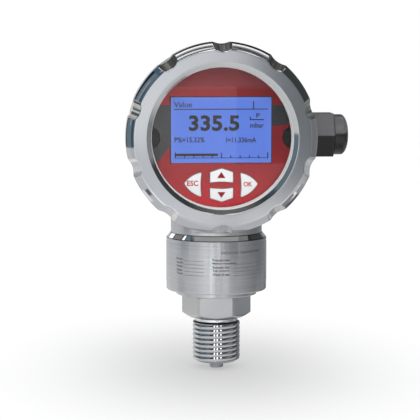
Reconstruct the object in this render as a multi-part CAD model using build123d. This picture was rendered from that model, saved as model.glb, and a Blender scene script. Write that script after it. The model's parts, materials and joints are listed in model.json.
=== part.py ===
from build123d import *
import os
from math import cos, sin, radians, tan, atan2, degrees

# Compact field pressure transmitter. Millimetres, +Z up, display faces -Y, cable gland towards +X.
# Origin: on the thread axis, at the sealing shoulder under the hexagon.

# ---------------------------------------------------------------- driving dimensions
# process connection (gauge type, 1/2 inch parallel thread)
THREAD_R = 10.4775          # major radius of the thread
THREAD_LEN = 20.0           # shoulder to the end of the thread
RELIEF_R, RELIEF_LEN = 9.25, 2.3
SPIGOT_R, SPIGOT_LEN = 3.0, 3.0
PORT_R = 1.75               # pressure port
HEX_AF, HEX_H = 27.0, 10.2
HEX_TURNED_R = 15.18        # corners turned to this radius
HEX_TURN_DEG = -4.3         # one flat faces slightly left of the display's axis
WASHER_R = 11.95            # where the lower 30 degree chamfer meets the shoulder face
COLLAR_R, COLLAR_TOP = 17.8, 12.4
UPSTAND_R, UPSTAND_TOP = 16.0, 22.0
# sensor body
BODY_R, BODY_BOT, BODY_TOP = 22.05, 12.4, 37.84
BODY_EDGE_Z = 35.4          # lower edge of the polished top chamfer
BODY_BORE = 18.65
LABEL_T, LABEL_Z0, LABEL_Z1 = 0.12, 16.5, 33.7
LABEL_GAP_DEG = 4.0
# head
HEAD_Z = 80.8               # height of the display axis
NECK_R = 20.09
NECK_SPIGOT_R, NECK_SPIGOT_BOT = 18.6, 30.5
NECK_BORE = 15.5
SHELL_R, SHELL_REAR, SHELL_WALL = 38.5, 23.0, 3.0
SHELL_FRONT = -20.8         # shoulder that the cover comes down to
SPIGOT_FRONT = -26.0        # front end of the threaded spigot for the cover
COVER_THREAD_R = 37.0      # spigot that carries the cover's thread and the seal's land
CAVITY_R = 34.2
# cover
RING_FRONT, RING_REAR = -36.0, -20.95
RING_R = 40.6
RING_FACE_R = 37.7          # outer edge of the front face
RING_TAPER_Y = -31.2        # where the tapered side reaches full radius
RING_OPEN_R = 31.93         # inner edge of the front face
LIP_R = 29.8                # clear window radius
N_NOTCH = 10
NOTCH_FRONT_R, NOTCH_REAR_R = 36.1, 39.6
GLASS_R, GLASS_T, GLASS_FRONT = 32.4, 3.0, -31.6
COVER_PITCH = 1.5
# display module
PLATE_R, PLATE_FRONT, PLATE_T = 30.3, -27.8, 0.4
CARRIER_REAR = -22.4
LCD_W, LCD_H, LCD_Z = 42.7, 27.8, 83.95
GRIP_X, GRIP_R = 30.8, 4.9
KEY_GAP, KEY_PROUD, KEY_TRAVEL = 0.15, 0.3, 0.5
BOARD_T = 1.6
PILLARS = [(-14.0, 22.0), (14.0, 22.0), (-19.5, -17.0), (19.5, -17.0)]   # from the display axis
TERM_BOARD_Y = 13.0
# gland
GLAND_Z = 80.3
BOSS_X, BOSS_R = 41.0, 11.6
GLAND_AF, GLAND_HEX_X1 = 19.0, 51.15
GLAND_THREAD_R = 8.0
NUT_R, NUT_X1, NUT_DOME = 8.86, 58.2, 3.4

os.makedirs("parts", exist_ok=True)
SHAPES = {}


def out(name, shape):
    solids = shape.solids() if not isinstance(shape, Solid) else [shape]
    keep = solids[0] if len(solids) == 1 else Compound(children=list(solids))
    SHAPES[name] = keep
    export_step(keep, "parts/%s.step" % name)


def rev_z(pts):
    """Turned about the vertical axis: points are (r, z)."""
    return revolve(make_face(Polyline(*[(r, 0, z) for r, z in pts], close=True)), axis=Axis.Z)


def rev_y(pts):
    """Turned about the display axis: points are (r, y)."""
    return Pos(0, 0, HEAD_Z) * revolve(make_face(Polyline(*[(r, y, 0) for r, y in pts], close=True)), axis=Axis.Y)


def rev_x(pts):
    """Turned about the gland axis: points are (x, r)."""
    return Pos(0, 0, GLAND_Z) * revolve(make_face(Polyline(*[(x, r, 0) for x, r in pts], close=True)), axis=Axis.X)


def cyl_y(r, y0, y1, x=0.0, z=HEAD_Z):
    return Pos(x, (y0 + y1) / 2, z) * Rot(90, 0, 0) * Cylinder(r, y1 - y0)


def cyl_x(r, x0, x1, y=0.0, z=GLAND_Z):
    return Pos((x0 + x1) / 2, y, z) * Rot(0, 90, 0) * Cylinder(r, x1 - x0)


def cyl_z(r, z0, z1, x=0.0, y=0.0):
    return Pos(x, y, (z0 + z1) / 2) * Cylinder(r, z1 - z0)


def box(x0, x1, y0, y1, z0, z1):
    return Pos((x0 + x1) / 2, (y0 + y1) / 2, (z0 + z1) / 2) * Box(x1 - x0, y1 - y0, z1 - z0)


def slab(face, y0, y1):
    """A face drawn in (x, z) at y = 0, made solid from y0 to y1."""
    return Pos(0, y0, 0) * extrude(face, amount=y1 - y0, dir=(0, 1, 0))


# ---------------------------------------------------------------- process connection
hexbar = Pos(0, 0, HEX_H / 2) * Rot(0, 0, HEX_TURN_DEG) * extrude(
    RegularPolygon(HEX_AF / 2, 6, major_radius=False), amount=HEX_H / 2, both=True)
t30 = tan(radians(30))
hex_turned = rev_z([(0, 0), (WASHER_R, 0), (HEX_TURNED_R, (HEX_TURNED_R - WASHER_R) * t30),
                    (HEX_TURNED_R, HEX_H - 0.45), (HEX_TURNED_R - 0.8, HEX_H), (0, HEX_H)])
hexpart = hexbar & hex_turned
collar = rev_z([(0, HEX_H), (COLLAR_R - 0.35, HEX_H), (COLLAR_R, HEX_H + 0.35), (COLLAR_R, COLLAR_TOP),
                (UPSTAND_R, COLLAR_TOP), (UPSTAND_R, UPSTAND_TOP), (0, UPSTAND_TOP)])
stud = rev_z([(0, 0), (RELIEF_R, 0), (RELIEF_R, -RELIEF_LEN + 0.6), (THREAD_R, -RELIEF_LEN - 0.6),
              (THREAD_R, -THREAD_LEN + 1.3), (8.75, -THREAD_LEN), (SPIGOT_R, -THREAD_LEN),
              (SPIGOT_R, -THREAD_LEN - SPIGOT_LEN + 0.3), (SPIGOT_R - 0.3, -THREAD_LEN - SPIGOT_LEN),
              (0, -THREAD_LEN - SPIGOT_LEN)])
POCKET_Z = 15.0
pocket = rev_z([(0, POCKET_Z), (12.3, POCKET_Z), (12.3, 16.0), (13.6, 16.0), (13.6, UPSTAND_TOP + 1), (0, UPSTAND_TOP + 1)])
port = cyl_z(PORT_R, -THREAD_LEN - SPIGOT_LEN - 1, POCKET_Z + 0.5) + rev_z([(0, 12.0), (2.0, 12.0), (5.0, POCKET_Z + 0.2), (0, POCKET_Z + 0.2)])
out("process_connection", hexpart + collar + stud - pocket - port)

# pressure cell with its membrane, O-ring and threaded retainer
out("sensor_cell", rev_z([(0, 16.3), (9.0, 16.3), (9.6, 16.0), (13.5, 16.0), (13.5, 20.2), (0, 20.2)]))
out("cell_seal", rev_z([(10.6, 15.25), (10.85, 15.0), (11.55, 15.0), (11.8, 15.25), (11.8, 15.75), (11.55, 16.0), (10.85, 16.0), (10.6, 15.75)]))
retainer = rev_z([(10.2, 20.2), (13.58, 20.2), (13.58, 22.0), (10.2, 22.0)])
for a in (0, 90):
    retainer -= Rot(0, 0, a) * box(-1.2, 1.2, -14, 14, 21.0, 22.5)
out("cell_retainer", retainer)

# ---------------------------------------------------------------- sensor body
body = rev_z([(UPSTAND_R + 0.05, BODY_BOT), (BODY_R - 0.5, BODY_BOT), (BODY_R, BODY_BOT + 0.5), (BODY_R, BODY_EDGE_Z),
              (NECK_R + 0.02, BODY_TOP), (BODY_BORE, BODY_TOP), (BODY_BORE, 16.4), (UPSTAND_R + 0.05, 16.4)])
out("sensor_body", body)
label = rev_z([(BODY_R, LABEL_Z0), (BODY_R + LABEL_T, LABEL_Z0), (BODY_R + LABEL_T, LABEL_Z1), (BODY_R, LABEL_Z1)])
gap_w = 2 * (BODY_R + 1) * tan(radians(LABEL_GAP_DEG / 2))
label -= box(-gap_w / 2, gap_w / 2, 10, 30, LABEL_Z0 - 1, LABEL_Z1 + 1)
out("rating_label", label)
out("body_seal", rev_z([(17.1, 33.25), (17.35, 33.0), (18.35, 33.0), (18.6, 33.25), (18.6, 34.25), (18.35, 34.5), (17.35, 34.5), (17.1, 34.25)]))

# board holder on the upstand, main board in its slot, with the larger components
holder = rev_z([(6.0, 22.0), (18.55, 22.0), (18.55, 24.6), (6.0, 24.6)]) - box(-12.1, 12.1, -0.8, 0.8, 22.8, 25)
out("board_holder", holder)
mb = box(-12.0, 12.0, -0.8, 0.8, 22.8, 58.0)
mb += box(-4.5, 4.5, -2.4, -0.8, 44.0, 53.0)
mb += box(-9.0, -3.0, -2.6, -0.8, 30.0, 37.0) + box(3.0, 9.5, -2.2, -0.8, 28.0, 33.0)
mb += cyl_y(3.0, 0.8, 7.0, 6.0, 40.0) + box(-8, -1, 0.8, 4.0, 32, 40)
out("main_board", mb)

# ---------------------------------------------------------------- housing: head shell, neck and gland boss in one
neck = cyl_z(NECK_R, BODY_TOP, HEAD_Z) + cyl_z(NECK_SPIGOT_R, NECK_SPIGOT_BOT, BODY_TOP)
neck -= rev_z([(17.1, 33.0), (19, 33.0), (19, 34.5), (17.1, 34.5)])
shell = rev_y([(0, SPIGOT_FRONT), (COVER_THREAD_R - 0.6, SPIGOT_FRONT), (COVER_THREAD_R, SPIGOT_FRONT + 0.6),
               (COVER_THREAD_R, SHELL_FRONT), (SHELL_R - 0.4, SHELL_FRONT),
               (SHELL_R, SHELL_FRONT + 0.4), (SHELL_R, SHELL_REAR - 3.0), (SHELL_R - 0.9, SHELL_REAR - 0.9),
               (SHELL_R - 3.0, SHELL_REAR), (0, SHELL_REAR)])
boss = cyl_x(BOSS_R, 25.0, BOSS_X)
cavity = rev_y([(0, SPIGOT_FRONT - 1), (CAVITY_R, SPIGOT_FRONT - 1), (CAVITY_R, SHELL_REAR - SHELL_WALL - 1.5),
                (CAVITY_R - 1.5, SHELL_REAR - SHELL_WALL), (0, SHELL_REAR - SHELL_WALL)])
housing = shell + neck + boss
housing = housing - cavity
housing -= cyl_z(NECK_BORE, NECK_SPIGOT_BOT - 1, HEAD_Z)
housing -= cyl_x(GLAND_THREAD_R + 0.02, 25.0, BOSS_X + 1)
for px, pz in PILLARS:
    b = cyl_y(3.4, TERM_BOARD_Y + BOARD_T, SHELL_REAR - SHELL_WALL + 0.2, px, HEAD_Z + pz)
    housing += b - cyl_y(1.45, TERM_BOARD_Y, 19.6, px, HEAD_Z + pz)
EARTH_X, EARTH_Z = 10.0, HEAD_Z - 24.5
housing += cyl_y(4.0, 9.0, SHELL_REAR - SHELL_WALL + 0.2, EARTH_X, EARTH_Z)
housing -= cyl_y(2.0, 8.0, 18.0, EARTH_X, EARTH_Z)
out("housing", housing)

# earth screw inside the head
earth = cyl_y(2.0, 9.0, 17.0, EARTH_X, EARTH_Z) + cyl_y(3.6, 6.4, 9.0, EARTH_X, EARTH_Z)
earth -= box(EARTH_X - 0.5, EARTH_X + 0.5, 6.0, 7.4, EARTH_Z - 2.4, EARTH_Z + 2.4) + box(EARTH_X - 2.4, EARTH_X + 2.4, 6.0, 7.4, EARTH_Z - 0.5, EARTH_Z + 0.5)
out("earth_screw", earth)

# ---------------------------------------------------------------- cover: ring, gasket, glass, retainer, seal
ring = rev_y([
    (RING_OPEN_R, RING_FRONT), (RING_FACE_R - 0.5, RING_FRONT + 0.30), (RING_FACE_R - 0.12, RING_FRONT + 0.42),
    (RING_FACE_R + 0.10, RING_FRONT + 0.72), (RING_R - 0.12, RING_TAPER_Y - 0.2), (RING_R, RING_TAPER_Y + 0.15),
    (RING_R, RING_REAR - 0.5), (RING_R - 0.5, RING_REAR), (38.55, RING_REAR), (38.55, -22.75), (37.05, -22.75),
    (37.05, -26.4), (33.65, -26.4), (33.65, -28.7), (32.5, -28.7), (32.5, -32.1), (LIP_R, -32.1),
    (LIP_R, -32.5), (30.35, -34.75), (30.45, -34.9)])
for k in range(N_NOTCH):
    # straight part of the scallop, then the drafted front part that runs with the tapered side
    ra, rb = 9.0, 7.6
    ca = Pos(0, -28, NOTCH_REAR_R + ra) * Rot(90, 0, 0) * Cylinder(ra, 20)
    slope = atan2(NOTCH_REAR_R - NOTCH_FRONT_R, 5.7)
    cb = Pos(0, RING_FRONT, NOTCH_FRONT_R) * Rot(degrees(slope), 0, 0) * Pos(0, 0, rb) * Rot(90, 0, 0) * Cylinder(rb, 24)
    ring -= Pos(0, 0, HEAD_Z) * Rot(0, 36.0 * k, 0) * (ca + cb)
out("cover_ring", ring)
out("window_gasket", rev_y([(30.4, -32.1), (GLASS_R, -32.1), (GLASS_R, -31.6), (30.4, -31.6)]))
out("window_glass", rev_y([(0, GLASS_FRONT), (GLASS_R - 0.3, GLASS_FRONT), (GLASS_R, GLASS_FRONT + 0.3), (GLASS_R, GLASS_FRONT + GLASS_T - 0.3), (GLASS_R - 0.3, GLASS_FRONT + GLASS_T), (0, GLASS_FRONT + GLASS_T)]))
gret = rev_y([(30.9, -28.6), (33.62, -28.6), (33.62, -26.4), (30.9, -26.4)])
for a in (90, 270):
    gret -= Pos(0, 0, HEAD_Z) * Rot(0, a, 0) * box(-1.5, 1.5, -27.6, -26.0, 30, 34)
out("glass_retainer", gret)
out("cover_seal", rev_y([(37.04, -22.45), (37.29, -22.7), (38.25, -22.7), (38.5, -22.45), (38.5, -21.25), (38.25, -21.0), (37.29, -21.0), (37.04, -21.25)]))


# ---------------------------------------------------------------- keys and their openings
def rounded(edges, r):
    f = make_face(Wire(edges))
    return fillet(f.vertices(), r)


def P(x, z):
    return (x, 0, z)


ESC = [ThreePointArc(P(-15.95, 61.45), P(-12.85, 64.45), P(-8.42, 66.15)),
       ThreePointArc(P(-8.42, 66.15), P(-8.88, 60.90), P(-8.50, 55.65)),
       ThreePointArc(P(-8.50, 55.65), P(-12.75, 57.70), P(-15.95, 61.45))]
UP = [Line(P(-4.95, 61.62), P(-4.90, 66.20)), Line(P(-4.90, 66.20), P(0, 67.85)), Line(P(0, 67.85), P(4.90, 66.20)),
      Line(P(4.90, 66.20), P(4.95, 61.62)), ThreePointArc(P(4.95, 61.62), P(0, 62.05), P(-4.95, 61.62))]
DOWN = [Line(P(-5.0, 59.60), P(-4.90, 55.10)), Line(P(-4.90, 55.10), P(0, 53.50)), Line(P(0, 53.50), P(4.90, 55.10)),
        Line(P(4.90, 55.10), P(5.0, 59.60)), ThreePointArc(P(5.0, 59.60), P(0, 59.15), P(-5.0, 59.60))]
KEYS = {"key_esc": (ESC, -10.6, 60.9), "key_up": (UP, 0.0, 64.2), "key_down": (DOWN, 0.0, 57.2)}
OK_DX, OK_DZ = -0.52, -0.30     # the OK key is the ESC key mirrored, then moved by this
KEY_CENTRES = [(-10.6, 60.9), (0.0, 64.2), (0.0, 57.2), (10.6 + OK_DX, 60.9 + OK_DZ)]


def to_ok(shape):
    return Pos(OK_DX, 0, OK_DZ) * mirror(shape, about=Plane.YZ)


FLANGE = 0.7
FLANGE_T, FLANGE_ROOM = 0.8, 1.45
KEY_REAR = CARRIER_REAR - 2.2
key_open, key_pocket = [], []
for name, (edges, cx, cz) in KEYS.items():
    face = rounded(edges, 0.45)
    plate_back = PLATE_FRONT + PLATE_T
    cap = slab(face, PLATE_FRONT - KEY_PROUD, plate_back + 0.05)
    cap = chamfer(cap.faces().sort_by(Axis.Y)[0].edges(), 0.12)
    flange_face = offset(face, amount=FLANGE)
    key = cap + slab(flange_face, plate_back + 0.05, plate_back + 0.05 + FLANGE_T)
    key += cyl_y(1.6, plate_back + 0.05, KEY_REAR, cx, cz)
    out(name, key)
    opening = slab(offset(face, amount=KEY_GAP), PLATE_FRONT - 1, plate_back + 1)
    room = slab(offset(face, amount=FLANGE + 0.15), plate_back - 1, plate_back + FLANGE_ROOM) + cyl_y(1.75, plate_back, CARRIER_REAR + 1, cx, cz)
    key_open.append(opening)
    key_pocket.append(room)
    if name == "key_esc":
        out("key_ok", to_ok(key))
        key_open.append(to_ok(opening))
        key_pocket.append(to_ok(room))

# ---------------------------------------------------------------- display module
plate = cyl_y(PLATE_R, PLATE_FRONT, PLATE_FRONT + PLATE_T)
plate -= box(-LCD_W / 2, LCD_W / 2, PLATE_FRONT - 1, PLATE_FRONT + 2, LCD_Z - LCD_H / 2, LCD_Z + LCD_H / 2)
for s in (-1, 1):
    plate -= cyl_y(GRIP_R, PLATE_FRONT - 1, PLATE_FRONT + 2, s * GRIP_X)
for o in key_open:
    plate -= o
out("faceplate", plate)

cw, ch = LCD_W / 2 + 0.9, LCD_H / 2 + 0.9
carrier = rev_y([(0, PLATE_FRONT + PLATE_T), (PLATE_R, PLATE_FRONT + PLATE_T), (PLATE_R, CARRIER_REAR), (0, CARRIER_REAR)])
carrier -= box(-cw, cw, PLATE_FRONT - 1, CARRIER_REAR + 1, LCD_Z - ch, LCD_Z + ch)
for s in (-1, 1):
    carrier -= cyl_y(GRIP_R, PLATE_FRONT - 1, PLATE_FRONT + PLATE_T + 2.0, s * GRIP_X)
for o in key_pocket:
    carrier -= o
SWITCH = 6.2
SW_TOP = KEY_REAR + KEY_TRAVEL + 0.05
switches = []
for cx, cz in KEY_CENTRES:
    carrier -= box(cx - SWITCH / 2 - 0.1, cx + SWITCH / 2 + 0.1, SW_TOP - 0.2, CARRIER_REAR + 1, cz - SWITCH / 2 - 0.1, cz + SWITCH / 2 + 0.1)
    switches.append(box(cx - SWITCH / 2, cx + SWITCH / 2, CARRIER_REAR - 1.2, CARRIER_REAR, cz - SWITCH / 2, cz + SWITCH / 2) + cyl_y(1.5, SW_TOP, CARRIER_REAR - 1.2, cx, cz))
for px, pz in PILLARS:
    carrier -= cyl_y(2.6, CARRIER_REAR - 2.4, CARRIER_REAR + 1, px, HEAD_Z + pz)
out("display_carrier", carrier)
out("key_switches", Compound(children=[s for s in switches]))

out("lcd_glass", box(-cw + 0.1, cw - 0.1, PLATE_FRONT + PLATE_T, PLATE_FRONT + PLATE_T + 1.8, LCD_Z - ch + 0.1, LCD_Z + ch - 0.1))
out("lcd_backlight", box(-cw + 0.1, cw - 0.1, PLATE_FRONT + PLATE_T + 1.8, CARRIER_REAR, LCD_Z - ch + 0.1, LCD_Z + ch - 0.1))

dboard = cyl_y(29.6, CARRIER_REAR, CARRIER_REAR + BOARD_T)
for px, pz in PILLARS:
    dboard -= cyl_y(1.25, CARRIER_REAR - 1, CARRIER_REAR + BOARD_T + 1, px, HEAD_Z + pz)
dboard += box(-7, 7, CARRIER_REAR + BOARD_T, CARRIER_REAR + BOARD_T + 1.8, HEAD_Z + 2, HEAD_Z + 12)
dboard += box(9.5, 17.5, CARRIER_REAR + BOARD_T, CARRIER_REAR + BOARD_T + 3.0, HEAD_Z - 3, HEAD_Z + 1)
dboard += box(-12, 8, CARRIER_REAR + BOARD_T, CARRIER_REAR + BOARD_T + 4.0, HEAD_Z - 16, HEAD_Z - 11)
out("display_board", dboard)

pillars, screws = [], []
y0 = CARRIER_REAR + BOARD_T
for px, dz in PILLARS:
    pz = HEAD_Z + dz
    hexp = Pos(px, y0, pz) * Rot(-90, 0, 0) * extrude(RegularPolygon(2.5, 6, major_radius=False), amount=TERM_BOARD_Y - y0)
    p = hexp + cyl_y(1.4, TERM_BOARD_Y, 19.0, px, pz) - cyl_y(1.2, y0 - 1, y0 + 7, px, pz)
    pillars.append(p)
    s = cyl_y(2.2, CARRIER_REAR - 1.8, CARRIER_REAR, px, pz) + cyl_y(1.2, CARRIER_REAR, y0 + 6, px, pz)
    s -= box(px - 0.3, px + 0.3, CARRIER_REAR - 2, CARRIER_REAR - 0.9, pz - 1.5, pz + 1.5)
    s -= box(px - 1.5, px + 1.5, CARRIER_REAR - 2, CARRIER_REAR - 0.9, pz - 0.3, pz + 0.3)
    screws.append(s)
out("board_pillars", Compound(children=pillars))
out("display_screws", Compound(children=screws))

# ---------------------------------------------------------------- terminal board, block and screws
tboard = cyl_y(32.0, TERM_BOARD_Y, TERM_BOARD_Y + BOARD_T)
for px, pz in PILLARS:
    tboard -= cyl_y(1.45, TERM_BOARD_Y - 1, TERM_BOARD_Y + BOARD_T + 1, px, HEAD_Z + pz)
tboard -= cyl_y(4.3, TERM_BOARD_Y - 1, TERM_BOARD_Y + BOARD_T + 1, EARTH_X, EARTH_Z)
out("terminal_board", tboard)
TX0, TX1, TZ0, TZ1, TY0 = -8.0, 8.0, HEAD_Z + 6.0, HEAD_Z + 16.0, 2.0
tblock = box(TX0, TX1, TY0, TERM_BOARD_Y, TZ0, TZ1)
tscrews = []
for i in (-1, 0, 1):
    tx = i * 5.08
    tblock -= cyl_y(2.0, TY0 - 1, TY0 + 5.0, tx, TZ1 - 3.4)
    tblock -= cyl_y(1.3, TY0 + 5.0, TY0 + 9.0, tx, TZ1 - 3.4)
    tblock -= box(tx - 1.7, tx + 1.7, TY0 + 5.4, TY0 + 9.4, TZ0 - 1, TZ0 + 4.0)
    sc = cyl_y(1.95, TY0 + 3.0, TY0 + 5.0, tx, TZ1 - 3.4) + cyl_y(1.25, TY0 + 5.0, TY0 + 8.6, tx, TZ1 - 3.4)
    sc -= box(tx - 0.35, tx + 0.35, TY0 + 2.5, TY0 + 3.9, TZ1 - 5.5, TZ1 - 1.3)
    tscrews.append(sc)
out("terminal_block", tblock)
out("terminal_screws", Compound(children=tscrews))

# flat cable from the main board up to the terminal board
ribbon = make_face(Polyline((0, 0.8, 50.5), (0, 0.8, 57.8), (0, 11.75, 62.2), (0, 11.75, 70.0), (0, 13.0, 70.0),
                            (0, 13.0, 69.0), (0, 12.1, 69.0), (0, 12.1, 61.9), (0, 1.15, 57.5), (0, 1.15, 50.5), close=True))
out("board_link", Pos(-5, 0, 0) * extrude(ribbon, amount=10.0, dir=(1, 0, 0)))

out("display_link", box(10.5, 16.5, CARRIER_REAR + BOARD_T + 3.0, TERM_BOARD_Y, HEAD_Z - 1.15, HEAD_Z - 0.85))

# ---------------------------------------------------------------- cable gland
ghex = Pos(0, 0, GLAND_Z) * Rot(0, 90, 0) * extrude(RegularPolygon(GLAND_AF / 2, 6, major_radius=False, rotation=30), amount=GLAND_HEX_X1)
keepx = box(BOSS_X + 0.8, GLAND_HEX_X1, -20, 20, GLAND_Z - 20, GLAND_Z + 20)
ghex = ghex & keepx & rev_x([(BOSS_X, 0), (BOSS_X, 10.6), (BOSS_X + 1.1, 11.2), (GLAND_HEX_X1 - 0.3, 11.2), (GLAND_HEX_X1, 10.7), (GLAND_HEX_X1, 0)])
gbody = ghex + cyl_x(GLAND_THREAD_R, 33.5, BOSS_X + 0.9) + cyl_x(7.55, GLAND_HEX_X1 - 0.1, 54.6)
gbody -= rev_x([(30, 0), (30, 4.6), (50.0, 4.6), (50.0, 6.6), (56.0, 6.6), (56.0, 0)])
out("gland_body", gbody)
out("gland_washer", rev_x([(BOSS_X, 8.1), (BOSS_X, 10.3), (BOSS_X + 0.8, 10.3), (BOSS_X + 0.8, 8.1)]))
out("gland_seal", rev_x([(50.0, 3.4), (50.0, 5.1), (56.2, 5.1), (56.2, 3.9), (55.6, 3.4)]))
claw = rev_x([(51.2, 5.15), (51.2, 6.5), (55.9, 6.5), (56.5, 5.9), (56.5, 5.15)])
for k in range(8):
    claw -= Pos(0, 0, GLAND_Z) * Rot(22.5 * (2 * k + 1), 0, 0) * box(52.6, 57, -0.3, 0.3, 4.5, 7.5)
out("gland_claw", claw)
dome = [(GLAND_HEX_X1 + 0.1, 7.6), (GLAND_HEX_X1 + 0.1, NUT_R - 0.25), (GLAND_HEX_X1 + 0.35, NUT_R), (NUT_X1 - NUT_DOME, NUT_R)]
N = 14
for i in range(1, N + 1):
    r = NUT_R * cos(radians(90.0 * i / N))
    if r < 5.0:
        break
    dome.append((NUT_X1 - NUT_DOME + NUT_DOME * sin(radians(90.0 * i / N)), r))
xe = NUT_X1 - NUT_DOME + NUT_DOME * (1 - (5.0 / NUT_R) ** 2) ** 0.5
dome += [(xe, 5.0), (xe - 0.4, 4.7), (56.6, 4.7), (56.6, 5.95), (55.95, 6.6), (54.75, 6.6), (54.75, 7.6)]
nut = Pos(0, 0, GLAND_Z) * revolve(make_face(Polyline(*[(x, r, 0) for x, r in dome], close=True)), axis=Axis.X)
out("gland_nut", nut)

for n, s in SHAPES.items():
    bb = s.bounding_box()
    print(n, round(s.volume, 1), [round(v, 2) for v in (bb.min.X, bb.min.Y, bb.min.Z, bb.max.X, bb.max.Y, bb.max.Z)])
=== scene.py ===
import bpy
import bmesh
import json
import math
from math import sin, cos, tan, radians, pi, sqrt, atan2, hypot
from mathutils import Vector, Matrix


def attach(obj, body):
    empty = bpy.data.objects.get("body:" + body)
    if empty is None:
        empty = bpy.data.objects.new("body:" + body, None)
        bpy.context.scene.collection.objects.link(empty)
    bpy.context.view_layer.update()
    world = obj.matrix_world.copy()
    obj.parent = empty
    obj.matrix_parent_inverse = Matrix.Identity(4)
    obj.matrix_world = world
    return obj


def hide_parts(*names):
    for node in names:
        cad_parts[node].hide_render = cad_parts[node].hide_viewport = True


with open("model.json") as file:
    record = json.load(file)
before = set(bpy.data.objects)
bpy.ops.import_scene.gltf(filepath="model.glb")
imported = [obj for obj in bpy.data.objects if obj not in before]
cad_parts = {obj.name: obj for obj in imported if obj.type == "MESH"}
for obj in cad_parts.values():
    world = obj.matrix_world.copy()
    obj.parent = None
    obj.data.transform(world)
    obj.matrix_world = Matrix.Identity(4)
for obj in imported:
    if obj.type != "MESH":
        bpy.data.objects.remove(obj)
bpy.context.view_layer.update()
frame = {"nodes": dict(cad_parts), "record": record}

MM = 0.001
HEAD_Z = 80.8
GLAND_Z = 80.3
scene = bpy.context.scene
NODES = frame["nodes"]

# ------------------------------------------------------------------ camera
AZ, PITCH, FOCAL_PX = radians(4.312), radians(6.0), 1700.0
CAM = Vector((-58.88, -743.67, 125.50))
FWD = Vector((sin(AZ) * cos(PITCH), cos(AZ) * cos(PITCH), -sin(PITCH)))
RIGHT = Vector((cos(AZ), -sin(AZ), 0.0))
UPV = RIGHT.cross(FWD)
cam_data = bpy.data.cameras.new("camera")
cam = bpy.data.objects.new("camera", cam_data)
scene.collection.objects.link(cam)
cam_data.sensor_fit = "HORIZONTAL"
cam_data.sensor_width = 36.0
cam_data.lens = FOCAL_PX / 420.0 * 36.0
cam_data.clip_start, cam_data.clip_end = 0.01, 50.0
m = Matrix.Identity(4)
for i in range(3):
    m[i][0], m[i][1], m[i][2], m[i][3] = RIGHT[i], UPV[i], -FWD[i], CAM[i] * MM
cam.matrix_world = m
scene.camera = cam
scene.view_settings.view_transform = "Standard"
scene.view_settings.look = "None"
scene.view_settings.exposure = 0.0
scene.view_settings.gamma = 1.0


def at(px, py, y):
    """Where the line of sight through a place in the picture meets the plane at that depth: (x, z) in mm."""
    d = FWD * FOCAL_PX + RIGHT * (px - 210.0) + UPV * (210.0 - py)
    t = (y - CAM.y) / d.y
    return CAM.x + t * d.x, CAM.z + t * d.z


def on_body(px, py, r):
    """Where the line of sight meets the front of the upright cylinder of radius r: (angle from the front, z)."""
    d = FWD * FOCAL_PX + RIGHT * (px - 210.0) + UPV * (210.0 - py)
    a = d.x * d.x + d.y * d.y
    b = 2 * (CAM.x * d.x + CAM.y * d.y)
    c = CAM.x ** 2 + CAM.y ** 2 - r * r
    t = (-b - sqrt(max(0.0, b * b - 4 * a * c))) / (2 * a)
    x, y, z = CAM.x + t * d.x, CAM.y + t * d.y, CAM.z + t * d.z
    return atan2(x, -y), z


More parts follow.
